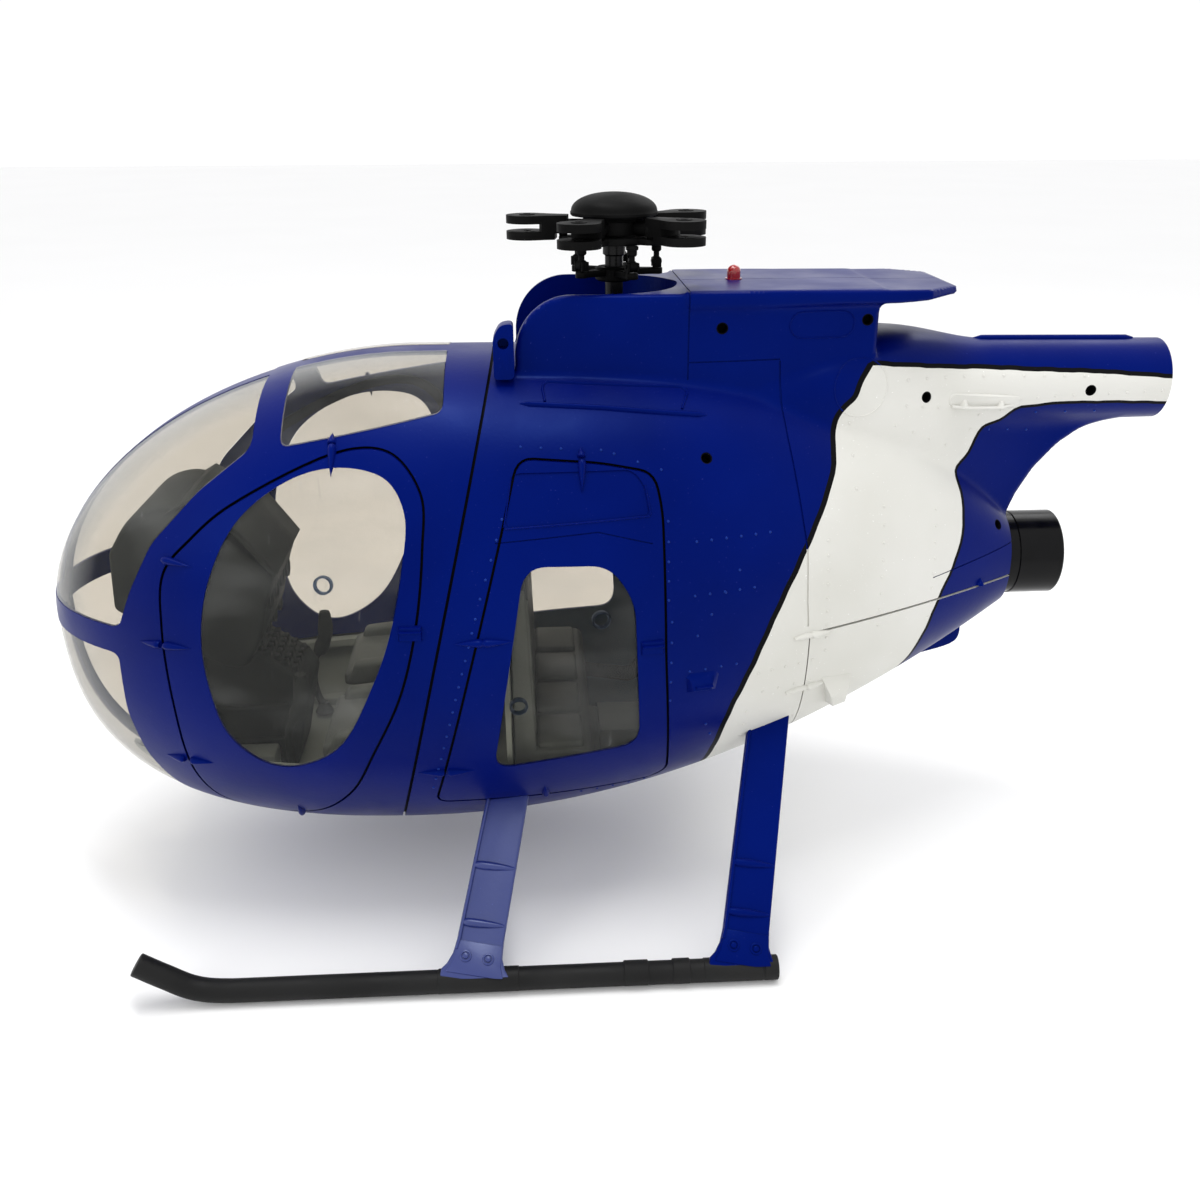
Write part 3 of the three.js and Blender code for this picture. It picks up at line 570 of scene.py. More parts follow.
def score(bm, outline):
    """Cuts the mesh's faces along a side outline, so that paint can end there."""
    square = 6 * MM
    filed = {}

    def file(face):
        centre = face.calc_center_median()
        filed.setdefault((round(centre.x / square), round(centre.z / square)), []).append(face)

    def crosses(face, low, high):
        if not face.is_valid:
            return False
        xs, zs = [v.co.x for v in face.verts], [v.co.z for v in face.verts]
        return max(xs) > low[0] and min(xs) < high[0] and max(zs) > low[1] and min(zs) < high[1]

    for face in bm.faces:
        file(face)
    for (ax, az), (bx, bz) in zip(outline, outline[1:] + outline[:1]):
        ends = np.array([(ax, az), (bx, bz)]) * MM
        low, high = ends.min(0) - MM, ends.max(0) + MM
        squares = {(round(x / square) + i, round(z / square) + j)
                   for x, z in ends for i in (-1, 0, 1) for j in (-1, 0, 1)}
        nearby = dict.fromkeys(f for key in sorted(squares) for f in filed.get(key, []))
        touched = [f for f in nearby if crosses(f, low, high)]
        if not touched:
            continue
        edges = dict.fromkeys(e for f in touched for e in f.edges)
        points = dict.fromkeys(v for f in touched for v in f.verts)
        geometry = touched + list(edges) + list(points)
        across = Vector((az - bz, 0, bx - ax)).normalized()
        cut = bmesh.ops.bisect_plane(bm, geom=geometry, dist=1e-6, plane_co=(ends[0][0], 0, ends[0][1]),
                                     plane_no=across)
        for made in cut["geom"]:
            if isinstance(made, bmesh.types.BMFace):
                file(made)


def paint(mesh):
    """Marks each face blue, white or black by where it lies in the side view."""
    bm = bmesh.new()
    bm.from_mesh(mesh)
    score(bm, WHITE_BAND)
    score(bm, BLACK_BAND)
    bm.faces.ensure_lookup_table()
    centres = np.array([f.calc_center_median() for f in bm.faces]) / MM
    white = polygon_field(centres[:, 0], centres[:, 2], WHITE_BAND) < 0
    black = (polygon_field(centres[:, 0], centres[:, 2], BLACK_BAND) < 0) & ~white
    for face, is_white, is_black in zip(bm.faces, white, black):
        face.material_index = WHITE if is_white else BLACK if is_black else BLUE
    bm.to_mesh(mesh)
    bm.free()


def touch_up(mesh):
    """Grooves cut into the white band are white as well."""
    index = np.empty(len(mesh.polygons), np.int32)
    mesh.polygons.foreach_get("material_index", index)
    centres = np.empty(3 * len(mesh.polygons))
    mesh.polygons.foreach_get("center", centres)
    x, _, z = centres.reshape(-1, 3).T / MM
    index[(index == BLUE) & (polygon_field(x, z, WHITE_BAND) < 0)] = WHITE
    mesh.polygons.foreach_set("material_index", index)


SKIN_DEPTH = 1.6  # a point this far from the outer surface belongs to the lining
SAME_WAY = 0.82  # the cosine above which a face follows the surface's formula


def shade(obj):
    """Smooth shading whose normals come from the surface's own formula, and flat ones on cut edges."""
    mesh = obj.data
    if WHITE_NAME in mesh.materials:
        touch_up(mesh)
    points = np.empty(3 * len(mesh.vertices))
    mesh.vertices.foreach_get("co", points)
    points = points.reshape(-1, 3) / MM
    corner = np.empty(len(mesh.loops), int)
    mesh.loops.foreach_get("vertex_index", corner)
    sides = np.empty(len(mesh.polygons), int)
    mesh.polygons.foreach_get("loop_total", sides)
    flat = np.empty(3 * len(mesh.polygons))
    mesh.polygons.foreach_get("normal", flat)
    flat = np.repeat(flat.reshape(-1, 3), sides, axis=0)
    outer, inner = unit(gradient(body_field, points)), -unit(gradient(pod_field, points))
    deep = np.abs(body_field(*points.T)) > SKIN_DEPTH
    smooth = np.where(deep[:, None], inner, outer)[corner]
    agrees = (smooth * flat).sum(1) > SAME_WAY
    normals = np.where(agrees[:, None], smooth, flat)
    mesh.shade_smooth()
    mesh.normals_split_custom_set(normals.tolist())


def set_materials(obj, *materials):
    obj.data.materials.clear()
    for material in materials:
        obj.data.materials.append(material)


# ---- Materials ----


class Look:
    """A node material with one Principled shader and a few short ways to feed it."""

    def __init__(self, name, color, roughness, metallic=0.0, coat=0.0):
        self.material = bpy.data.materials.new(name)
        self.material.use_nodes = True
        self.nodes = self.material.node_tree.nodes
        self.shader = self.nodes["Principled BSDF"]
        self.shader.inputs["Base Color"].default_value = (*color, 1)
        self.shader.inputs["Roughness"].default_value = roughness
        self.shader.inputs["Metallic"].default_value = metallic
        self.shader.inputs["Coat Weight"].default_value = coat
        self.shader.inputs["Coat Roughness"].default_value = 0.12
        self.color, self.roughness = color, roughness

    def add(self, kind, **values):
        node = self.nodes.new("ShaderNode" + kind)
        for name, value in values.items():
            if name in node.inputs:
                node.inputs[name].default_value = value
            else:
                setattr(node, name, value)
        return node

    def link(self, source, target):
        self.material.node_tree.links.new(source, target)

    def place(self):
        if not hasattr(self, "_place"):
            self._place = self.add("TexCoord").outputs["Object"]
        return self._place

    def noise(self, scale, detail=3.0, stretch=None):
        texture = self.add("TexNoise", Scale=scale, Detail=detail)
        source = self.place()
        if stretch:
            mapping = self.add("Mapping", Scale=stretch)
            self.link(source, mapping.inputs["Vector"])
            source = mapping.outputs["Vector"]
        self.link(source, texture.inputs["Vector"])
        return texture.outputs["Fac"]

    def ramp(self, source, low, high, start, end):
        """A colour ramp between two colours or two numbers."""
        ramp = self.add("ValToRGB")
        points = ramp.color_ramp.elements
        for point, position, value in zip(points, (start, end), (low, high)):
            point.position = position
            point.color = (*value, 1) if isinstance(value, tuple) else (value, value, value, 1)
        self.link(source, ramp.inputs["Fac"])
        return ramp.outputs["Color"]

    def vary_color(self, source, low, high, start=0.35, end=0.65):
        color = self.ramp(source, low, high, start, end)
        self.link(color, self.shader.inputs["Base Color"])
        return color

    def speckle(self, under, scale, spot, start=0.68, end=0.74):
        """Small specks of another colour over what feeds the base colour."""
        both_colors = self.add("Mix", data_type="RGBA")
        both_colors.inputs[7].default_value = (*spot, 1)
        self.link(self.ramp(self.noise(scale, 2), 0.0, 1.0, start, end), both_colors.inputs[0])
        self.link(under, both_colors.inputs[6])
        self.link(both_colors.outputs[2], self.shader.inputs["Base Color"])

    def vary_roughness(self, source, low, high, start=0.35, end=0.65):
        self.link(self.ramp(source, low, high, start, end), self.shader.inputs["Roughness"])

    def bump(self, source, strength, distance):
        bump = self.add("Bump", Strength=strength, Distance=distance)
        if self.shader.inputs["Normal"].is_linked:
            self.link(self.shader.inputs["Normal"].links[0].from_socket, bump.inputs["Normal"])
        self.link(source, bump.inputs["Height"])
        self.link(bump.outputs["Normal"], self.shader.inputs["Normal"])


def painted(name, low, high, roughness, gloss=0.22, tint=(1, 1, 1)):
    """Sprayed enamel on moulded plastic: fine orange peel, faint clouding, dust specks, a satin finish."""
    look = Look(name, low, roughness)
    look.shader.inputs["Specular IOR Level"].default_value = gloss
    look.shader.inputs["Specular Tint"].default_value = (*tint, 1)
    color = look.vary_color(look.noise(9), low, high)
    look.speckle(color, 900, tuple(min(1, c * 1.5 + 0.02) for c in high), 0.735, 0.76)
    look.vary_roughness(look.noise(26, 5), roughness - 0.05, roughness + 0.07)
    look.bump(look.noise(420, 2), 0.10, 0.0004)
    look.bump(look.noise(55, 2), 0.06, 0.0015)
    return look.material


def moulded(name, low, high, roughness, grain=700, depth=0.25, gloss=0.4):
    """Bare moulded plastic with a fine matt grain."""
    look = Look(name, low, roughness)
    look.shader.inputs["Specular IOR Level"].default_value = gloss
    color = look.vary_color(look.noise(30, 4), low, high)
    look.speckle(color, 1100, tuple(min(1, c * 1.06) for c in high), 0.68, 0.74)
    look.vary_roughness(look.noise(60, 4), roughness - 0.07, roughness + 0.08)
    look.bump(look.noise(grain, 2), depth, 0.0003 if depth > 0.1 else 0.0001)
    return look.material


def worn_metal(name, low, high, roughness):
    look = Look(name, low, roughness, metallic=1.0)
    look.vary_color(look.noise(80, 5, (1, 1, 6)), low, high)
    look.vary_roughness(look.noise(120, 4), roughness - 0.08, roughness + 0.12)
    look.bump(look.noise(900, 2), 0.12, 0.0002)
    return look.material


def clear_plastic(name, tint, haze):
    """Vacuum-formed clear plastic: a faint smoke tint, hazy patches and hairline scratches."""
    look = Look(name, haze, 0.06)
    look.shader.inputs["IOR"].default_value = 1.5
    look.vary_roughness(look.noise(38, 4), 0.03, 0.16)
    look.bump(look.noise(16, 2), 0.10, 0.002)
    see = look.add("BsdfTransparent")
    see.inputs["Color"].default_value = (*tint, 1)
    facing = look.add("LayerWeight", Blend=0.5)
    edge = look.ramp(facing.outputs["Facing"], 0.02, 0.5, 0.45, 1.0)
    cloud = look.ramp(look.noise(11, 4, (1, 1, 2.2)), 0.0, 0.07, 0.45, 0.78)
    scratch = look.ramp(look.noise(260, 2, (1, 1, 0.05)), 0.0, 0.08, 0.71, 0.75)
    total = look.add("Math", operation="ADD")
    look.link(edge, total.inputs[0])
    look.link(cloud, total.inputs[1])
    more = look.add("Math", operation="ADD", use_clamp=True)
    look.link(total.outputs[0], more.inputs[0])
    look.link(scratch, more.inputs[1])
    both_shaders = look.add("MixShader")
    look.link(more.outputs[0], both_shaders.inputs["Fac"])
    look.link(see.outputs[0], both_shaders.inputs[1])
    look.link(look.shader.outputs[0], both_shaders.inputs[2])
    look.link(both_shaders.outputs[0], look.nodes["Material Output"].inputs["Surface"])
    return look.material


def lens_red():
    look = Look("lens_red", (0.42, 0.008, 0.01), 0.08, coat=0.6)
    look.shader.inputs["Transmission Weight"].default_value = 0.35
    look.vary_color(look.noise(60), (0.32, 0.004, 0.008), (0.55, 0.012, 0.014))
    look.bump(look.noise(300, 2), 0.05, 0.0003)
    return look.material


GLOSS_BLUE = (0.10, 0.28, 1.0)
PAINT_BLUE = painted("paint_blue", (0.0001, 0.0032, 0.090), (0.0002, 0.0048, 0.116), 0.33, 0.16, GLOSS_BLUE)
PAINT_WHITE = painted("paint_white", (0.62, 0.615, 0.565), (0.69, 0.685, 0.645), 0.42, 0.2)
LINE_BLACK = painted("line_black", (0.001, 0.001, 0.002), (0.004, 0.004, 0.005), 0.42, 0.06)
# Blue rivets: a lighter copy of the body blue, painted highlight where the rivet heads catch the light.
RIVET_LIT_BLUE = painted("rivet_blue_painted_highlight", (0.0040, 0.0160, 0.150), (0.0070, 0.0240, 0.200), 0.30, 0.50, GLOSS_BLUE)
CLEAR = clear_plastic("clear_smoke", (0.856, 0.836, 0.800), (0.55, 0.57, 0.58))
CLEAR_RIM = clear_plastic("clear_rim", (0.30, 0.36, 0.46), (0.42, 0.46, 0.52))
MATT_BLACK = moulded("moulded_black", (0.002, 0.002, 0.002), (0.0045, 0.0045, 0.0045), 0.52, gloss=0.06)
GLOSS_BLACK = moulded("gloss_black", (0.002, 0.002, 0.0022), (0.004, 0.004, 0.004), 0.30, 500, 0.06, 0.2)
INSIDE_GREY = moulded("inside_grey", (0.235, 0.265, 0.245), (0.300, 0.330, 0.305), 0.6, 700, 0.06, 0.15)
INSIDE_DARK = moulded("inside_dark", (0.034, 0.040, 0.040), (0.050, 0.057, 0.056), 0.62, 700, 0.06, 0.12)
STEEL = worn_metal("steel", (0.42, 0.43, 0.45), (0.58, 0.59, 0.60), 0.30)
RED_LENS = lens_red()
INSIDE_SKIN = moulded("inside_skin", (0.030, 0.062, 0.094), (0.044, 0.088, 0.128), 0.5, 700, 0.06, 0.08)
INSIDE_BLUE = moulded("inside_blue", (0.006, 0.075, 0.190), (0.010, 0.105, 0.250), 0.42, 700, 0.06, 0.08)
INSIDE_SEAT = moulded("inside_seat", (0.130, 0.146, 0.142), (0.170, 0.190, 0.184), 0.5, 700, 0.06, 0.15)
SKID_BLACK = moulded("skid_black", (0.004, 0.004, 0.004), (0.010, 0.010, 0.010), 0.60, 500, 0.4, 0.22)
EXHAUST_BLACK = moulded("exhaust_black", (0.001, 0.001, 0.0012), (0.003, 0.003, 0.0035), 0.18, 500, 0.04,
                        0.15)
# Near black for the screw-hole linings and the flanges behind door and seam gaps: painted shade, so that
# holes and gaps read dark.
PAINTED_SHADE_BLACK = moulded("hole_and_gap_painted_shade", (0.001, 0.001, 0.002), (0.003, 0.003, 0.004), 0.6, gloss=0.05)
# Front struts: a lighter copy of the body blue, painted highlight where they face the light; the rear struts
# keep the body blue.
FRONT_STRUT_LIT_BLUE = painted("strut_blue_painted_highlight", (0.0060, 0.0140, 0.120), (0.0110, 0.0210, 0.160), 0.34, 0.95,
                     (0.70, 0.78, 1.0))
ENGINE_CAST = worn_metal("engine_cast", (0.16, 0.165, 0.17), (0.26, 0.265, 0.27), 0.5)

# ---- Stage ----


FLOOR_REACH, FLOOR_Z = 9e3, -0.3


def add_light(name, place, target, width, height, power):
    light = bpy.data.lights.new(name, "AREA")
    light.shape = "RECTANGLE"
    light.size, light.size_y = width, height
    light.energy = power
    made = bpy.data.objects.new(name, light)
    made.location = place
    made.rotation_euler = (Vector(target) - Vector(place)).to_track_quat("-Z", "Y").to_euler()
    bpy.context.collection.objects.link(made)


def add_stage():
    """A pale floor that reaches far back, and three soft lights."""
    ring = [(-1, -1), (1, -1), (1, 1), (-1, 1)]
    floor = new_object("floor", [(x * FLOOR_REACH, y * FLOOR_REACH, FLOOR_Z) for x, y in ring],
                       [(0, 1, 2, 3)])
    look = Look("floor_white", (0.93, 0.93, 0.925), 0.8)
    look.vary_color(look.noise(2.0, 4), (0.925, 0.925, 0.92), (0.935, 0.935, 0.93))
    set_materials(floor, look.material)
    world = bpy.data.worlds.new("studio")
    world.use_nodes = True
    world.node_tree.nodes["Background"].inputs["Color"].default_value = (0.99, 0.99, 1.0, 1)
    world.node_tree.nodes["Background"].inputs["Strength"].default_value = 1.04
    bpy.context.scene.world = world
    middle = (0, 0, 0.2)
    add_light("overhead", (-0.12, -0.10, 1.75), middle, 1.1, 0.24, 12)
    add_light("front_left", (-1.5, -1.3, 1.1), middle, 0.7, 0.7, 4)
    add_light("behind", (0.9, 1.3, 1.5), middle, 1.0, 0.6, 4)
    bpy.context.scene.view_settings.view_transform = "Standard"


# ---- Assembly ----


def piece(obj, body, nodes=(), materials=None):
    """Puts a finished object on its body, and hides the CAD parts that it stands in for."""
    if materials:
        set_materials(obj, *materials)
    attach(obj, body)
    if nodes:
        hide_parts(*nodes)
    return obj


def fixed(obj, look, nodes=(), angle=40):
    """Softens a finished object and puts it on the fuselage."""
    return piece(soften(obj, angle), "fuselage", nodes, [look])


def lining_cutter(index):
    """The hollow of the pod, whose faces leave the lining's material on the shell."""
    hollow = pod_solid(SKIN)
    hollow.data.polygons.foreach_set("material_index", [index] * len(hollow.data.polygons))
    return hollow


def rear_parts():
    """The rear fuselage, its painted band, and the doors cut out of it."""
    points, faces = upper_body()
    body = new_object("rear_fuselage", points, faces)
    core = new_object("core", points - unit(gradient(body_field, points)) * GROOVE_DEPTH, faces)
    set_materials(body, PAINT_BLUE, PAINT_WHITE, LINE_BLACK, INSIDE_SKIN)
    paint(body.data)
    ahead = [(seam_x(0, SEAM_GAP / 2), 0), (seam_x(FAR, SEAM_GAP / 2), FAR), (-FAR, FAR), (-FAR, 0)]
    carve(body, prism(ahead, -WIDE, WIDE))
    carve(body, box(TAIL_X - 0.5, FAR, -70, 70, 150, 226.4))
    carve(body, box(BOOM_END_X, FAR, -70, 70, 200, 400))
    holes = carve_skin(body, core)
    carve(body, lining_cutter(3))
    bore = lathe([(235, 0), (235, BOOM_R - 3.3), (352, BOOM_R - 4.7), (352, 0)], "x", (0, 0, BOOM_Z), 48)
    carve(body, bore)
    well = [(-FAR, -RECESS_R), (2, -RECESS_R)]
    well += [(2 + RECESS_R * math.cos(a), RECESS_R * math.sin(a)) for a in np.linspace(-1.5, 1.5, 40)]
    well += [(2, RECESS_R), (-FAR, RECESS_R)]
    carve(body, carve(plan_prism(well, 290, 400), pod_solid(0)))
    return body, core, holes


def lathe(profile, axis, centre, sides=32):
    """A closed turned solid: the profile is a list of (distance along the axis, radius)."""
    points, faces, rings = [], [], []
    for along, radius in profile:
        if radius < 1e-6:
            rings.append([len(points)])
            points.append((along, 0, 0))
            continue
        rings.append(list(range(len(points), len(points) + sides)))
        for k in range(sides):
            turn = 2 * math.pi * k / sides
            points.append((along, radius * math.cos(turn), radius * math.sin(turn)))
    for one, two in zip(rings, rings[1:]):
        for k in range(sides):
            a, b = one[k % len(one)], one[(k + 1) % len(one)]
            c, d = two[(k + 1) % len(two)], two[k % len(two)]
            face = list(dict.fromkeys((a, b, c, d)))
            if len(face) > 2:
                faces.append(face)
    if len(rings[0]) > 1 and profile[0] == profile[-1]:
        faces = [[v if v < rings[-1][0] else rings[0][v - rings[-1][0]] for v in f] for f in faces]
        points = points[: rings[-1][0]]
    points = np.array(points, float)
    if axis == "z":
        points = points[:, [1, 2, 0]]
    elif axis == "y":
        points = points[:, [2, 0, 1]]
    made = new_object("turned", points + np.array(centre, float), faces)
    if signed_volume(made) < 0:
        made.data.flip_normals()
    return made


def cylinder(start, end, radius, axis, centre, sides):
    return lathe([(start, 0), (start, radius), (end, radius), (end, 0)], axis, centre, sides)


def turned_part(name, profile, axis, centre, sides, angle):
    """A turned solid with soft shading and its own name."""
    made = soften(lathe(profile, axis, centre, sides), angle)
    made.name = name
    return made


def signed_volume(obj):
    bm = bmesh.new()
    bm.from_mesh(obj.data)
    volume = bm.calc_volume(signed=True)
    bm.free()
    return volume


# ---- Small parts laid on the skin ----


class Pile:
    """Points and faces gathered from many small closed shapes into one mesh."""

    def __init__(self):
        self.points, self.faces = [], []

    def add(self, points, faces):
        base = sum(len(p) for p in self.points)
        self.points.append(np.asarray(points, float))
        self.faces += [[base + i for i in face] for face in faces]

    def take(self, obj, turn=Matrix.Identity(3), point=(0, 0, 0)):
        """Takes in an object's mesh, turned and then moved to a point in mm; the object is removed."""
        moved_points = [Vector(turn @ v.co) / MM + Vector(point) for v in obj.data.vertices]
        self.add(moved_points, [tuple(f.vertices) for f in obj.data.polygons])
        bpy.data.objects.remove(obj)

    def make(self, name):
        made = new_object(name, np.concatenate(self.points), self.faces)
        face_out(made)
        return made


def face_out(obj):
    bm = bmesh.new()
    bm.from_mesh(obj.data)
    bmesh.ops.recalc_face_normals(bm, faces=bm.faces)
    bm.to_mesh(obj.data)
    bm.free()


def soften(obj, angle=35):
    """Smooth shading across all but the sharper edges."""
    obj.data.shade_smooth()
    obj.data.set_sharp_from_angle(angle=math.radians(angle))
    return obj


def bevel(obj, width, segments=2, angle=30):
    edge = obj.modifiers.new("bevel", "BEVEL")
    edge.width = width * MM
    edge.segments = segments
    edge.limit_method = "ANGLE"
    edge.angle_limit = math.radians(angle)
    return soften(bake(obj), 40)


OUTSIDE_Y, MARCH_STEP, HALVINGS = 136.0, 1.5, 22


def on_side(spots, side):
    """Where a line across the body at each (x, z) first meets the skin, and the skin's normals there."""
    x, z = np.array(spots, float).T
    reach = np.arange(OUTSIDE_Y, -1, -MARCH_STEP)
    grid_x, grid_y = np.meshgrid(x, reach, indexing="ij")
    inside = body_field(grid_x, grid_y, np.repeat(z[:, None], len(reach), 1)) < 0
    first = np.maximum(1, inside.argmax(1))
    outer, inner = reach[first - 1], reach[first]
    for _ in range(HALVINGS):
        middle = (outer + inner) / 2
        within = body_field(x, middle, z) < 0
        outer, inner = np.where(within, outer, middle), np.where(within, middle, inner)
    points = np.stack([x, side * outer, z], 1)
    return points, unit(gradient(body_field, points))


def ridge(pile, path, side, width, height, closed=False, sink=0.6):
    """A half-round bar along a path of (x, z) on the skin; width and height may change along it."""
    points, normals = on_side(path, side)
    n = len(points)
    ahead = np.roll(points, -1, 0) - np.roll(points, 1, 0)
    if not closed:
        ahead[0], ahead[-1] = points[1] - points[0], points[-1] - points[-2]
    across = unit(np.cross(unit(ahead), normals))
    width, height = np.broadcast_to(width, n), np.broadcast_to(height, n)
    turn = np.linspace(0, math.pi, 8)
    rings = (
        points[:, None]
        + across[:, None] * (np.cos(turn)[None, :, None] * width[:, None, None] / 2)
        + normals[:, None] * (np.sin(turn)[None, :, None] * (height[:, None, None] + sink) - sink)
    )
    count = len(turn)
    faces = []
    for i in range(n if closed else n - 1):
        j = (i + 1) % n
        faces += [(i * count + k, j * count + k, j * count + (k + 1) % count, i * count + (k + 1) % count)
                  for k in range(count)]
    if not closed:
        faces += [tuple(range(count)), tuple(range((n - 1) * count, n * count))]
    pile.add(rings.reshape(-1, 3), faces)


BUMP_WIDTH, BUMP_HEIGHT = 5.2, 3.3


def teardrops(pile, side, bumps):
    """Hinge bumps: low half cones with a blunt start that taper to a point."""
    t = np.linspace(0, 1, 13)
    swell = np.maximum(0.05, 1 - t**1.5) * np.minimum(1, 0.72 + 3 * t)
    for x, z, length, heading in bumps:
        along = (t - 0.5) * length
        path = [(x + a * math.cos(heading), z + a * math.sin(heading)) for a in along]
        ridge(pile, path, side, BUMP_WIDTH * swell, BUMP_HEIGHT * swell)


def dome(pile, points, normals, radius, height, sides=8):
    """Low round heads, as on rivets and screws."""
    rings = [(1.0, -0.4), (0.9, 0.45), (0.5, 0.9)]
    for point, normal in zip(points, normals):
        turn = Vector(normal).to_track_quat("Z", "Y").to_matrix()
        around = [2 * math.pi * k / sides for k in range(sides)]
        shape = [(radius * share * math.cos(a), radius * share * math.sin(a), up * height)
                 for share, up in rings for a in around]
        shape.append((0, 0, height))
        shape = np.array([turn @ Vector(p) for p in shape]) + point
        faces = [tuple(range(sides))]
        for r in range(len(rings) - 1):
            faces += [(r * sides + k, r * sides + (k + 1) % sides, (r + 1) * sides + (k + 1) % sides,
                       (r + 1) * sides + k)
                      for k in range(sides)]
        last = (len(rings) - 1) * sides
        faces += [(last + k, last + (k + 1) % sides, len(rings) * sides) for k in range(sides)]
        pile.add(shape, faces)


def on_white(spots, margin=0.0):
    x, z = np.array(spots, float).T
    return polygon_field(x, z, WHITE_BAND) < -margin


def rivet_rows(blue, white, rows, side):
    """Rows of rivets, each on the paint it stands on; none on the black line or over a screw hole."""
    spots = []
    for (ax, az), (bx, bz), count in rows:
        spots += [(ax + (bx - ax) * k / (count - 1), az + (bz - az) * k / (count - 1)) for k in range(count)]
    spots = [p for p in spots if min(math.dist(p, hole) for hole in SCREW_HOLES) > HOLE_CLEARANCE]
    x, z = np.array(spots).T
    inside, beyond = on_white(spots, 1.0), polygon_field(x, z, BLACK_BAND) > 1.2
    pale, dark = [p for p, w in zip(spots, inside) if w], [p for p, b in zip(spots, beyond) if b]
    if pale:
        dome(white, *on_side(pale, side), 0.95, 0.6)
    if dark:
        dome(blue, *on_side(dark, side), 0.9, 0.6)


def bored(radius, point, normal, out=6.0, deep=9.0, sides=28):
    """A cylinder through the skin, to cut a hole with."""
    turn = Vector(normal).to_track_quat("X", "Z").to_matrix()
    made = cylinder(-deep, out, radius, "x", (0, 0, 0), sides)
    for v in made.data.vertices:
        v.co = turn @ v.co + Vector(point) * MM
    return made


def lined(pile, radius, point, normal, deep=8.0, sides=28):
    """The dark tube in a screw hole: near black, painted shade inside the hole."""
    turn = Vector(normal).to_track_quat("X", "Z").to_matrix()
    profile = [(-0.25, radius - 0.55), (-deep + 1, radius - 0.55), (-deep + 1, 0), (-deep, 0),
               (-deep, radius - 0.02), (-0.25, radius - 0.02), (-0.25, radius - 0.55)]
    pile.take(lathe(profile, "x", (0, 0, 0), sides), turn, point)


def strip(points, width):
    """A thin outline round a polyline, for a groove."""
    left, right = [], []
    for i, (x, z) in enumerate(points):
        ax, az = points[max(0, i - 1)]
        bx, bz = points[min(len(points) - 1, i + 1)]
        length = math.hypot(bx - ax, bz - az)
        nx, nz = -(bz - az) / length * width / 2, (bx - ax) / length * width / 2
        left.append((x + nx, z + nz))
        right.append((x - nx, z - nz))
    return left + right[::-1]


def arc(x, z, radius, start, end, count):
    return [(x + radius * math.cos(a), z + radius * math.sin(a))
            for a in np.radians(np.linspace(start, end, count))]


def sweep(path, radii, sides=20, squash=1.0):
    """A closed round bar along a path of points, with a radius at each."""
    path = np.array(path, float)
    radii = np.broadcast_to(radii, len(path))
    ahead = np.gradient(path, axis=0)
    ahead /= np.linalg.norm(ahead, axis=1, keepdims=True)
    first = np.cross(ahead[0], (0, 1, 0) if abs(ahead[0][1]) < 0.8 else (1, 0, 0))
    points, faces = [], []
    for place, along, radius in zip(path, ahead, radii):
        first = first - along * first.dot(along)
        first /= np.linalg.norm(first)
        second = np.cross(along, first)
        for k in range(sides):
            turn = 2 * math.pi * k / sides
            points.append(place + radius * (first * math.cos(turn) + squash * second * math.sin(turn)))
    for i in range(len(path) - 1):
        for k in range(sides):
            j = (k + 1) % sides
            faces.append((i * sides + k, i * sides + j, (i + 1) * sides + j, (i + 1) * sides + k))
    last = (len(path) - 1) * sides
    faces += [tuple(range(sides)), tuple(range(last, last + sides))]
    made = new_object("bar", points, faces)
    face_out(made)
    return made


def curve_points(knots, per=8):
    """A smooth path through 3-D knots."""
    knots = [np.array(k, float) for k in knots]
    ends = [2 * knots[0] - knots[1]] + knots + [2 * knots[-1] - knots[-2]]
    out = []
    for a, b, c, d in zip(ends, ends[1:], ends[2:], ends[3:]):
        for k in range(per):
            t = k / per
            bend, twist = 2 * a - 5 * b + 4 * c - d, 3 * b - a - 3 * c + d
            out.append(0.5 * (2 * b + (c - a) * t + bend * t**2 + twist * t**3))
    return out + [knots[-1]]


def join(name, *parts, within=None):
    """One object out of several closed shapes, each first cut back by the given cutters."""
    for cutter in within or ():
        for part in parts:
            carve(part, cutter, keep=True)
        bpy.data.objects.remove(cutter)
    bm = bmesh.new()
    for part in parts:
        bm.from_mesh(part.data)
    mesh = bpy.data.meshes.new(name)
    bm.to_mesh(mesh)
    bm.free()
    for part in parts:
        bpy.data.objects.remove(part)
    made = bpy.data.objects.new(name, mesh)
    bpy.context.collection.objects.link(made)
    return made


def moved(obj, matrix):
    obj.data.transform(matrix)
    if matrix.determinant() < 0:
        obj.data.flip_normals()
    return obj


def to_side(obj, side):
    """A part drawn on the port side, put on the given side."""
    return moved(obj, Matrix.Diagonal((1, -side, 1, 1)))


def turned_about_mast(obj, degrees=0):
    there = Matrix.Translation((MAST_X * MM, 0, 0))
    return moved(obj, there @ Matrix.Rotation(math.radians(degrees), 4, "Z"))


def round_disc(radius, z0, z1, edge=0.6, x=0.0, y=0.0, sides=40):
    """An upright disc with rounded rims."""
    profile = [(z0, 0), (z0, radius - edge), (z0 + edge * 0.3, radius - edge * 0.3), (z0 + edge, radius),
               (z1 - edge, radius), (z1 - edge * 0.3, radius - edge * 0.3), (z1, radius - edge), (z1, 0)]
    return lathe(profile, "z", (x, y, 0), sides)


# ---- Windows ----

PANE_THICKNESS = 1.2


def pane(name, outline, side, inset, body, node, near):
    made = pod_solid(inset, FRONT_END_X, name)
    carve(made, side_cut(outline, side, near), "INTERSECT")
    carve(made, pod_solid(inset + PANE_THICKNESS))
    soften(made, 30)
    return piece(made, body, (node,), [CLEAR])


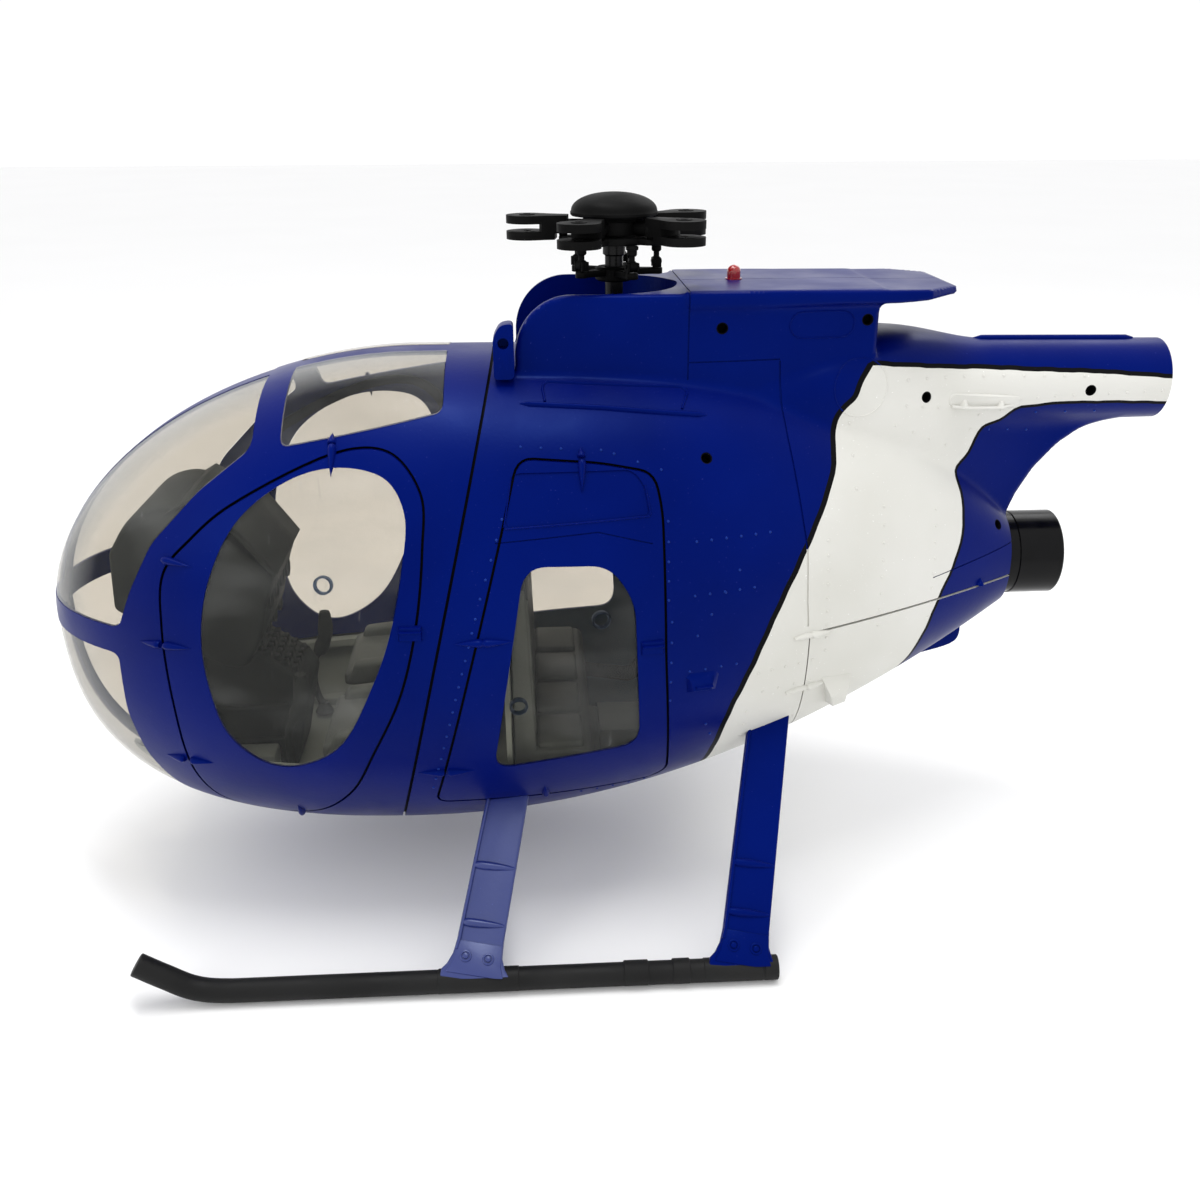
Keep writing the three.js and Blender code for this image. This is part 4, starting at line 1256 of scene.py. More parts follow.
def peg(pile, x, z, side, radius=5.2):
    """The round clear stud moulded on a door window, a raised ring with a dished middle."""
    points, normals = on_side([(x, z)], side)
    turn = Vector(normals[0]).to_track_quat("X", "Z").to_matrix()
    profile = [(-2.4, radius - 1.3), (-2.4, radius), (0.4, radius), (0.9, radius - 0.5), (0.9, radius - 1.0),
               (0.2, radius - 1.3), (-2.4, radius - 1.3)]
    pile.take(lathe(profile, "x", (0, 0, 0), 32), turn, points[0])


def windows():
    for name, side in SIDES.items():
        for stem, outline, shrink, inset, body, node, near in (
            ("front_window", FRONT_WINDOW, 0.25, 0.7, "front_door_" + name, "front_door_window_", 0.0),
            ("rear_window", REAR_WINDOW, 0.25, 0.9, "rear_door_" + name, "rear_door_window_", 0.0),
            ("windshield", WINDSHIELD, 0.3, 0.35, "fuselage", "windshield_", CENTRE_POST + 0.3),
            ("skylight", SKYLIGHT, 0.3, -0.5, "fuselage", "skylight_", CENTRE_POST + 2.3),
            ("chin", CHIN_WINDOW, 0.3, 0.5, "fuselage", "chin_window_", CHIN_POST + 0.3),
        ):
            pane(stem + "_pane_" + name, grown(outline, -shrink), side, inset, body, node + name, near)
        for door, spots in (("front_door_", [(-159, 230)]), ("rear_door_", [(-9, 205), (-56, 155)])):
            studs = Pile()
            for x, z in spots:
                peg(studs, x, z, side)
            piece(soften(studs.make(door + "stud_" + name), 40), door + name,
                  materials=[CLEAR_RIM])


# ---- Rotor ----

GRIP_COUNT, FIRST_GRIP_DEG, LINK_LAG_DEG = 5, 28, 26
GRIP_R, GRIP_Z, GRIP_PAD_R, GRIP_HALF, GRIP_SLOT = 50.7, 402, 12.2, 6.7, 4.4
LINK_R, STAR_Z, MAST_R = 25, 376, 5.3
GRIP_STEP_DEG = 360 // GRIP_COUNT


def hub_dome():
    profile = [(398.5, 0), (398.5, 16.5), (405.5, 16.5), (407.5, 18.5), (408.4, 22.0), (408.6, 24.6),
               (409.3, 25.3), (410.6, 25.4), (411.4, 24.9)]
    rise = np.linspace(0.10, math.pi / 2 - 0.08, 14)
    profile += [(411.4 + 10.0 * math.sin(a), 24.9 * math.cos(a) ** 0.92) for a in rise]
    profile += [(421.5, 0)]
    cap = turned_part("hub_cap", profile, "z", (MAST_X, 0, 0), 72, 32)
    piece(cap, "rotor", ("hub_dome",), [MATT_BLACK])


def grip(name, degrees):
    """A blade grip: two round-ended plates, a slot for the blade, a bolt hole, a waist and a root collar."""
    reach = np.radians(np.linspace(-112, 112, 33))
    pad = [(GRIP_R + GRIP_PAD_R * math.cos(a), GRIP_PAD_R * math.sin(a)) for a in reach]
    outline = [(27, -5.2), (33, -6.4), (39, -8.2)] + pad + [(39, 8.2), (33, 6.4), (27, 5.2)]
    made = plan_prism(outline, GRIP_Z - GRIP_HALF, GRIP_Z + GRIP_HALF)
    made.name = name
    slot = [(43, -5), (43, 5), (41.5, 7.5), (40, 14), (80, 14), (80, -14), (40, -14), (41.5, -7.5)]
    carve(made, plan_prism(slot, GRIP_Z - GRIP_SLOT / 2, GRIP_Z + GRIP_SLOT / 2))
    carve(made, round_disc(2.3, 380, 420, 0, GRIP_R, 0, 24))
    carve(made, cylinder(408.35, 430, 26.2, "z", (0, 0, 0), 48))
    carve(made, box(10, 34, -20, 20, 380, 398.8))
    bevel(made, 0.7, 3, 35)
    collar = lathe([(27.5, 0), (27.5, 5.4), (28, 5.9), (31.2, 5.9), (31.8, 5.2), (31.8, 0)], "x",
                   (0, 0, GRIP_Z + 0.1), 28)
    root = cylinder(17.6, 27.6, 4.2, "x", (0, 0, GRIP_Z + 0.4), 24)
    boss = round_disc(4.6, GRIP_Z + GRIP_HALF - 0.3, GRIP_Z + GRIP_HALF + 0.5, 0.3, GRIP_R, 0, 32)
    carve(boss, round_disc(2.3, 380, 420, 0, GRIP_R, 0, 24))
    parts = [made, soften(collar, 35), soften(root, 35), soften(boss, 35)]
    return turned_about_mast(join(name, *parts), degrees)


def link(name, degrees):
    """A thin pitch link: a rod with a ball end above and a forked foot on the star."""
    shaft = cylinder(STAR_Z + 4.6, 393, 1.7, "z", (LINK_R, 0, 0), 20)
    head = lathe([(388.2, 0), (388.2, 2.3), (389, 2.9), (392.2, 2.9), (393, 2.3), (393, 0)], "z",
                 (LINK_R, 0, 0), 20)
    eye = lathe([(-2.1, 0), (-2.1, 2.7), (-1.7, 3.1), (1.7, 3.1), (2.1, 2.7), (2.1, 0)], "y",
                (LINK_R, 0, STAR_Z + 6.6), 24)
    fork = [bevel(box(LINK_R - 2.6, LINK_R + 2.6, y - 0.7, y + 0.7, STAR_Z + 3.3, STAR_Z + 8.6), 0.4)
            for y in (-3.0, 3.0)]
    pin = cylinder(-4.3, 4.3, 1.2, "y", (LINK_R, 0, STAR_Z + 6.6), 16)
    parts = [soften(part, 35) for part in (shaft, head, eye, pin)] + fork
    return turned_about_mast(join(name, *parts), degrees)


def star():
    ring = soften(lathe([(STAR_Z - 4, MAST_R + 0.4), (STAR_Z - 4, 9.6), (STAR_Z - 3, 11), (STAR_Z + 3, 11),
                         (STAR_Z + 4, 9.8), (STAR_Z + 4, MAST_R + 0.4), (STAR_Z - 4, MAST_R + 0.4)], "z",
                        (0, 0, 0), 40), 35)
    parts = [ring]
    for i in range(GRIP_COUNT):
        turn = math.radians(FIRST_GRIP_DEG - LINK_LAG_DEG + GRIP_STEP_DEG * i)
        tip = [(LINK_R + 3.6 * math.cos(a), 3.6 * math.sin(a)) for a in np.linspace(-1.5, 1.5, 12)]
        arm = [(9, -4.6), (LINK_R - 3, -2.6)] + tip + [(LINK_R - 3, 2.6), (9, 4.6)]
        made = bevel(plan_prism(arm, STAR_Z - 0.6, STAR_Z + 3.0), 0.5)
        parts.append(moved(made, Matrix.Rotation(turn, 4, "Z")))
    return turned_about_mast(join("swash_star", *parts))


def hub_plate():
    """A five-armed plate with a round middle, a rim and a bolt head on each arm."""
    ring = round_disc(23.6, 393.6, 397.6, 0.8, 0, 0, 60)
    parts = [soften(ring, 35)]
    for i in range(GRIP_COUNT):
        turn = math.radians(FIRST_GRIP_DEG + GRIP_STEP_DEG * i)
        arm = bevel(plan_prism([(6, -7), (29, -5.6), (32, -3.5), (32, 3.5), (29, 5.6), (6, 7)], 393.9,
                               397.3), 0.6)
        parts.append(moved(arm, Matrix.Rotation(turn, 4, "Z")))
        foot = soften(round_disc(3.6, 391.6, 393.8, 0.5, LINK_R + 0.2, 0, 20), 35)
        parts.append(moved(foot, Matrix.Rotation(turn - math.radians(LINK_LAG_DEG), 4, "Z")))
    return turned_about_mast(join("hub_arms", *parts))


def rotor():
    hub_dome()
    piece(hub_plate(), "rotor", ("hub_plate",), [MATT_BLACK])
    piece(star(), "rotor", ("link_star",), [MATT_BLACK])
    for i in range(GRIP_COUNT):
        degrees = FIRST_GRIP_DEG + GRIP_STEP_DEG * i
        number = str(i + 1)
        piece(grip("grip_" + number, degrees), "rotor", ("blade_grip_" + number,),
              [MATT_BLACK])
        piece(link("link_" + number, degrees - LINK_LAG_DEG), "rotor", ("pitch_link_" + number,),
              [MATT_BLACK])
    profile = [(292, 0), (292, 7.7), (292.4, 8), (297.6, 8), (298, 7.7), (298, MAST_R), (386, MAST_R),
               (387, 6.6), (392.6, 6.6), (393, 6.2), (393, 0)]
    mast = turned_part("mast_shaft", profile, "z", (MAST_X, 0, 0), 40, 32)
    piece(mast, "rotor", ("rotor_mast",), [GLOSS_BLACK])


# ---- Landing gear ----

SKID_Y, SKID_R, TOE_X, HEEL_X = 172, 6.5, -272, 89
STRUTS = {"front": ((-66, -96, 75), (-85, -SKID_Y, 13), (0.40, 0.74)),
          "rear": ((95, -80, 110), (68.5, -SKID_Y, 13), (0.60, 0.81))}


def skid(name, side):
    y, z = -SKID_Y, SKID_R + 0.25
    knots = [(TOE_X, y, z + 21), (TOE_X + 14, y, z + 12), (TOE_X + 30, y, z + 3), (TOE_X + 50, y, z),
             (TOE_X + 90, y, z), (-60, y, z), (HEEL_X - 0.6, y, z)]
    path = [(px, py, max(pz, SKID_R + 0.2)) for px, py, pz in curve_points(knots, 7)]
    tube = sweep(path, SKID_R + 0.2, 28)
    bevel(tube, 0.8, 3, 50)
    parts = [tube]
    sleeves = [(0, 14, 7.2), (28, 38, 7.2), (HEEL_X - 8, HEEL_X, 7.1), (-106, -60, 7.0),
               (46, HEEL_X - 9, 6.95)]
    for x0, x1, r in sleeves:
        profile = [(x0, 5.5), (x0, r - 0.35), (x0 + 0.35, r), (x1 - 0.35, r), (x1, r - 0.35), (x1, 5.5),
                   (x0, 5.5)]
        parts.append(soften(lathe(profile, "x", (0, y, max(z, r)), 36), 35))
    return to_side(join("skid_tube_" + name, *parts), side)


def strut(end, name, side):
    """A flat leg with a rolled edge, two ribs across it, and a screwed foot that flares onto the skid."""
    top, foot, ribs = STRUTS[end]
    top, foot = Vector(top), Vector(foot)
    down = foot - top
    length = down.length
    down.normalize()
    across = (Vector((1, 0, 0)) - down * down.x).normalized()
    out = across.cross(down)
    if out.y > 0:
        out = -out
    left = [(-12.4, -16), (-13.4, length - 16), (-14.2, length - 8), (-16.4, length - 2),
            (-19, length + 1.5), (-19, length + 6)]
    right = [(12.4, -16), (13.4, length - 18), (14.2, length - 9), (16.8, length - 3), (20.5, length + 1),
             (20.5, length + 6)]
    parts = [bevel(prism(left + right[::-1], -2.6, 2.6), 1.1, 3, 40)]
    edge = [(-12.0, -16), (-13.0, length - 16), (-13.6, length - 10)]
    parts.append(bevel(prism(edge + [(x + 1.9, z) for x, z in edge[::-1]], 0, 4.1), 0.8, 2, 40))
    for share in ribs:
        d = share * length
        knots = [(-12.6 + 25.0 * t, 2.3, d - 1.0 * t) for t in np.linspace(0, 1, 15)]
        girth = [0.5 + 2.2 * math.sin(math.pi * t**0.55) ** 0.6 for t in np.linspace(0.001, 0.999, 15)]
        parts.append(soften(sweep(knots, girth, 16), 60))
    lift = [(-12.4, length - 15.5), (13.2, length - 15.5), (14.2, length - 4), (17, length + 3),
            (-16, length + 3), (-13.6, length - 4)]
    parts.append(bevel(prism(lift, 1.5, 3.4), 0.5, 2, 40))
    for x in (-6.5, 6.5):
        profile = [(3.0, 0), (3.0, 3.5), (3.9, 3.3), (4.1, 2.9), (4.1, 2.4), (3.5, 2.2), (3.5, 1.7),
                   (4.4, 1.5), (4.6, 1.0), (4.6, 0)]
        parts.append(soften(lathe(profile, "y", (x, 0, length - 7.0), 28), 35))
    placed = Matrix.Translation(top * MM) @ Matrix((across, out, down)).transposed().to_4x4()
    for part in parts:
        moved(part, placed)
    under_foot = box(-FAR, FAR, -FAR, FAR, -FAR, 12.2)
    leg = join("leg_" + end + "_" + name, *parts, within=[under_foot, pod_solid(-0.1)])
    return to_side(leg, side)


def landing_gear():
    for name, side in SIDES.items():
        piece(skid(name, side), "fuselage", ("skid_" + name,), [SKID_BLACK])
        for end in STRUTS:
            # the front struts take the lighter blue, a painted highlight
            piece(soften(strut(end, name, side), 38), "fuselage", ("strut_" + end + "_" + name,),
                  [FRONT_STRUT_LIT_BLUE if end == "front" else PAINT_BLUE])


# ---- Cabin and engine bay ----


def console():
    """The instrument hood on its pedestal, with dials, keys and ledges."""
    parts = []
    column = [(-296, 64.5), (-204, 64.5), (-192, 120), (-198, 130), (-226, 150), (-240, 196), (-292, 196)]
    parts.append(bevel(prism(column, -24, 24), 2.5, 3))
    hood = curve_points([(-300, 186), (-262, 160), (-232, 144), (-217, 158), (-209, 186), (-203, 203)], 4)
    hood += curve_points([(-205, 206), (-226, 228), (-251, 248.5), (-268, 250.5), (-284, 242), (-298, 222)],
                         4)
    parts.append(bevel(prism([tuple(p) for p in hood], -40, 40), 3, 3))
    parts.append(bevel(prism([(-262, 246), (-250, 251), (-222, 231.5), (-203, 206), (-199.5, 207),
                              (-219, 235), (-249, 254)],
                             -41.5, 41.5), 1.2, 2))
    for y in (-28, -9.5, 9.5, 28):
        for x, z, r in ((-209.5, 186, 6.4), (-217, 160, 5.0)):
            parts.append(soften(round_dial(x, y, z, r), 35))
    # keys on the sloping top of the pedestal, and two ledges on each flank
    for step in range(5):
        for y in (-16, -8, 0, 8, 16):
            x, z = mix(-222, -201, step / 4), mix(148.2, 132.6, step / 4)
            parts.append(bevel(box(x - 1.9, x + 1.9, y - 2.6, y + 2.6, z - 2, z + 2.4), 0.6))
    for side in SIDES.values():
        for z in (84, 108):
            parts.append(bevel(box(-280, -206, *sorted((side * 22, side * 27)), z, z + 3.5), 0.9))
    whole = join("console_panel", *parts, within=[outside_of_cabin()])
    fixed(whole, INSIDE_DARK, ("instrument_console",))


def seats_and_sticks():
    """On each side a bucket seat, and a bent stick with a waisted handle and a cuff at its foot."""
    for name, side in SIDES.items():
        piece(bucket_seat(name, side), "fuselage", ("seat_" + name,), [INSIDE_SEAT])
        bend = [(-196, STICK_Y, 66.2), (-202, STICK_Y, 84), (-202, STICK_Y, 104), (-196, STICK_Y, 116)]
        stick = sweep(curve_points(bend), 2.5, 16)
        handle = sweep(curve_points([(-197, STICK_Y, 113), (-192, STICK_Y, 127), (-191, STICK_Y, 144)], 6),
                       [4.2, 4.9, 5.2, 5.2, 4.8, 4.6, 4.9, 5.2, 5.2, 5.0, 4.6, 4.2, 3.4], 16)
        cuff = lathe([(66.8, 0), (66.8, 6.4), (68.4, 6), (71, 4.2), (74, 3.4), (74, 0)], "z",
                     (-197.6, STICK_Y, 0), 24)
        whole = join("stick_" + name, soften(stick), soften(handle, 50), soften(cuff))
        piece(to_side(whole, side), "cyclic_" + name, ("cyclic_stick_" + name,),
              [INSIDE_DARK])


def bench():
    """The rear bench: a moulded profile right across the cabin, with four seat pads and four back pads."""
    profile = [(-60, 64.5), (-52, 64.5), (-48, 97), (-20, 98), (-20, 64.5), (-12, 64.5), (-11.5, 104),
               (-15, 108), (-47, 108),
             (-51, 212), (-54, 214.5), (-60, 214.5)]
    parts = [bevel(prism(profile, -91.5, 91.5), 1.6, 2)]
    for y in (-68, -23, 23, 68):
        parts.append(bevel(prism([(-46, 106.5), (-18, 106.5), (-18, 111.5), (-46, 111.5)], y - 19, y + 19),
                           2.4, 3))
        parts.append(bevel(prism([(-51, 118), (-46.5, 118), (-49.5, 206), (-53, 206)], y - 19, y + 19), 1.8,
                           3))
    seat_row = join("bench_seat", *parts, within=[outside_of_cabin()])
    fixed(seat_row, INSIDE_SEAT, ("rear_bench",))


def carried_over():
    """Looks for the inner CAD pieces that are shown as they are."""
    for node, look in (("cabin_floor", INSIDE_GREY), ("cabin_bulkhead", INSIDE_GREY),
                       ("battery_box", MATT_BLACK),
                       ("receiver_box", INSIDE_GREY), ("main_gear", INSIDE_GREY), ("motor_pinion", STEEL),
                       ("drive_motor", STEEL), ("gear_housing", MATT_BLACK), ("engine", ENGINE_CAST)):
        set_materials(bpy.data.objects[node], look)


CABIN_INSET = 7
STICK_Y = -49


def outside_of_cabin():
    """Everything outside the space that cabin fittings may fill."""
    block = box(-400, 300, -200, 200, 0, 400)
    return carve(block, pod_solid(CABIN_INSET, 240))


def round_dial(x, y, z, radius):
    """A dial on the console's rear face: a raised rim round a sunk face."""
    profile = [(x - 6, 0), (x - 6, radius), (x + 2.0, radius), (x + 2.0, radius - 1.1),
               (x + 0.6, radius - 1.5), (x + 0.6, 0)]
    return lathe(profile, "x", (0, y, z), 28)


def bucket_seat(name, side):
    """A moulded bucket: pan, raised thigh rests, back with bolsters, and a plinth."""
    pan = [(-176, 103), (-120, 98.5), (-106, 98.5), (-99, 105), (-75, 236), (-79, 241.5), (-86, 241),
           (-93, 236), (-111, 124), (-117, 116.5), (-172, 113), (-176, 111)]
    parts = [bevel(prism(pan, -82, -16), 2.4, 3)]
    for y0, y1 in ((-84, -73), (-25, -14)):
        rest = [(-174, 104), (-112, 100), (-100, 108), (-84, 196), (-92, 200), (-106, 166), (-122, 124),
                (-168, 119)]
        parts.append(bevel(prism(rest, y0, y1), 3, 4))
    parts.append(bevel(prism([(-93, 214), (-80, 214), (-77, 240), (-84, 243), (-92, 240)], -66, -32), 3, 4))
    parts.append(bevel(prism([(-158, 64.6), (-118, 64.6), (-120, 102), (-160, 104)], -70, -28), 2.2, 3))
    seat = soften(join("bucket_" + name, *parts, within=[outside_of_cabin()]), 40)
    return to_side(seat, side)


def side_boxes():
    """Raised blocks moulded on the floor beside the console and under the sills."""
    parts = []
    for side in SIDES.values():
        for x0, x1, y0, y1, z1 in ((-244, -214, 26, 44, 84), (-232, -186, 62, 76, 70),
                                   (-150, -116, 86, 94, 92)):
            low, high = sorted((side * y0, side * y1))
            parts.append(bevel(box(x0, x1, low, high, 64.3, z1), 1.6, 2))
        pedal = prism([(-262, 66), (-256, 66), (-248, 96), (-253, 98)], *sorted((side * 36, side * 60)))
        parts.append(bevel(pedal, 1.2, 2))
    fixed(join("floor_blocks", *parts, within=[outside_of_cabin()]), INSIDE_GREY)


def mast_boot():
    """The black cover in the well round the foot of the mast."""
    profile = [(325.5, MAST_R + 1), (325.5, 31), (331, 30.5), (335, 27), (338, 20), (341, 13.5), (349, 11),
               (354.5, 10), (356, 9.4), (356, MAST_R + 1), (325.5, MAST_R + 1)]
    boot = turned_part("mast_cover", profile, "z", (MAST_X, 0, 0), 56, 40)
    carve(boot, pod_solid(-0.15))
    fixed(boot, GLOSS_BLACK, ("mast_boot",))


def beacon():
    profile = [(371.2, 0), (371.2, 4.9), (372.4, 4.9), (372.6, 4.0), (376.2, 4.0)]
    rise = np.linspace(0.12, math.pi / 2 - 0.1, 9)
    profile += [(376.2 + 3.8 * math.sin(a), 4.0 * math.cos(a)) for a in rise] + [(380, 0)]
    lens = turned_part("beacon_dome", profile, "z", (BEACON_X, 0, 0), 36, 40)
    piece(lens, "fuselage", ("beacon_lens",), [RED_LENS])


def exhaust():
    """A glossy pipe with a wider sleeve ahead of its open mouth."""
    profile = [(200, 23.6), (200, 26.2), (263.5, 26.2), (264.1, 26.9), (291.2, 26.9), (292, 26.3),
               (292, 24.4), (291.2, 23.6), (262, 23.6), (262, 22.4), (200, 22.4), (200, 23.6)]
    pipe = turned_part("exhaust_tube", profile, "x", (0, 0, LIP_Z), 72, 32)
    piece(pipe, "fuselage", ("exhaust_pipe",), [EXHAUST_BLACK])


def belly_lug():
    eye = smooth_outline([(196, 121), (214, 125), (236, 133), (238.5, 141), (236, 149), (222, 152),
                          (204, 154), (196, 140)], 40)
    lug = prism(eye, -3.6, 3.6)
    carve(lug, cylinder(-9, 9, 3.2, "y", (228.5, 0, 141.5), 28))
    bevel(lug, 0.9, 3, 40)
    lug.name = "tail_lug"
    carve(lug, pod_solid(-0.1))
    fixed(lug, PAINT_BLUE, nodes=("belly_lug",))


def switch():
    parts = [bevel(box(-103, -87, -4.8, 4.8, 39.2, 41.9), 0.4),
             bevel(box(-97.8, -92.2, -1.9, 1.9, 32.9, 39.6), 0.6)]
    for x in (-96.6, -95, -93.4):
        parts.append(bevel(box(x - 0.35, x + 0.35, -1.9, 1.9, 32.2, 33.4), 0.15, 1))
    knob = join("switch_slider", *parts)
    piece(knob, "switch", ("power_switch",), [MATT_BLACK])


# ---- What is moulded on the skin ----

HOLE_R, HOLE_CLEARANCE = 3.4, 5
SCREW_HOLES = [(52, 286), (64, 351), (148, 354), (189, 307), (293, 307), (245, 224)]
PANEL_LINES = [
    ([(98, 332), (99, 310), (101, 291), (108, 249), (111, 232), (112, 203), (113.5, 186)], 1.1),
    ([(45, 332), (98, 333)], 0.8),
    ([(-66, 250), (-10, 253), (20, 245)], 0.7),
    ([(196, 202), (256, 212)], 0.7),
]
DOOR_RECESS = rounded([(-56, 284), (-61, 257), (19, 259), (17, 274), (10, 283)], 5)
RIVETS_WHITE = [
    ((124, 236), (126, 168), 9), ((160, 250), (160, 178), 8), ((196, 243), (196, 176), 8),
    ((84, 160), (118, 163), 5),
    ((78, 110), (79, 132), 3), ((88, 146), (118, 148), 4), ((84, 112), (112, 118), 4),
    ((176, 303), (240, 295), 7),
    ((250, 303), (338, 306), 9), ((176, 318), (338, 315), 14), ((170, 292), (206, 276), 4),
    ((140, 296), (142, 262), 3),
]
RIVETS_BLUE = [
    ((45, 244), (88, 245), 6), ((44, 214), (79, 215), 5), ((42, 168), (70, 169), 4),
    ((29, 256), (29, 213), 5),
    ((31, 200), (31, 150), 5), ((-51, 296), (-7, 293), 5), ((0, 291), (26, 282), 3),
    ((-62, 262), (-75, 221), 5),
    ((-78, 210), (-91, 162), 7), ((-93, 154), (-108, 96), 8), ((46, 190), (70, 226), 4),
    ((-20, 76), (20, 77), 5),
    ((226, 293), (300, 293), 5), ((222, 284), (262, 280), 4), ((54, 128), (64, 100), 4),
]
# Hinge bumps at door edges: (x, z, length, heading) on the door and on the shell beside it.
DOOR_BUMPS = {
    "front_door": [(-244.5, 190, 16, 0.0), (-243.5, 111, 14, 0.0), (-153, 291, 14, -1.6),
                   (-193, 68, 11, 1.6)],
    "rear_door": [(-66.0, 196, 17, 0.0), (-91.0, 110, 15, 0.0), (-18, 281, 15, -1.6), (-42, 85, 10, 1.6)],
    "engine_door": [(123, 180.2, 14, 0.07), (124, 144, 15, 0.12)],
}
SHELL_BUMPS = [
    (-261.5, 190, 13, math.pi), (-260.5, 111, 12, math.pi), (-240, 237, 17, -0.12), (-153, 301, 5, 1.5),
    (-82.5, 196, 16, math.pi), (-108, 110, 15, math.pi), (-18, 292.5, 5, 1.55), (232, 192, 5, 1.57),
]


def blister(pile, side, corners, tops, sink=2.0):
    """A hard-edged fairing: a foot outline of (x, z) on the skin, and each top corner's rise from it."""
    feet, normals = on_side(corners, side)
    top_points, _ = on_side([(x, z) for x, z, _ in tops], side)
    heads = top_points + np.array([(0, side * rise, 0) for _, _, rise in tops])
    n = len(corners)
    points = np.concatenate([feet - normals * sink, feet, heads])
    faces = [tuple(range(n)), tuple(range(2 * n, 3 * n))]
    for row in (0, n):
        faces += [(row + i, row + (i + 1) % n, row + n + (i + 1) % n, row + n + i) for i in range(n)]
    pile.add(points, faces)


def spread(points, count):
    """Evenly spaced points along a polyline."""
    lengths = [0.0]
    for a, b in zip(points, points[1:]):
        lengths.append(lengths[-1] + math.dist(a, b))
    at = np.linspace(0, lengths[-1], count)
    xs, zs = np.array(points, float).T
    return list(zip(np.interp(at, lengths, xs), np.interp(at, lengths, zs)))


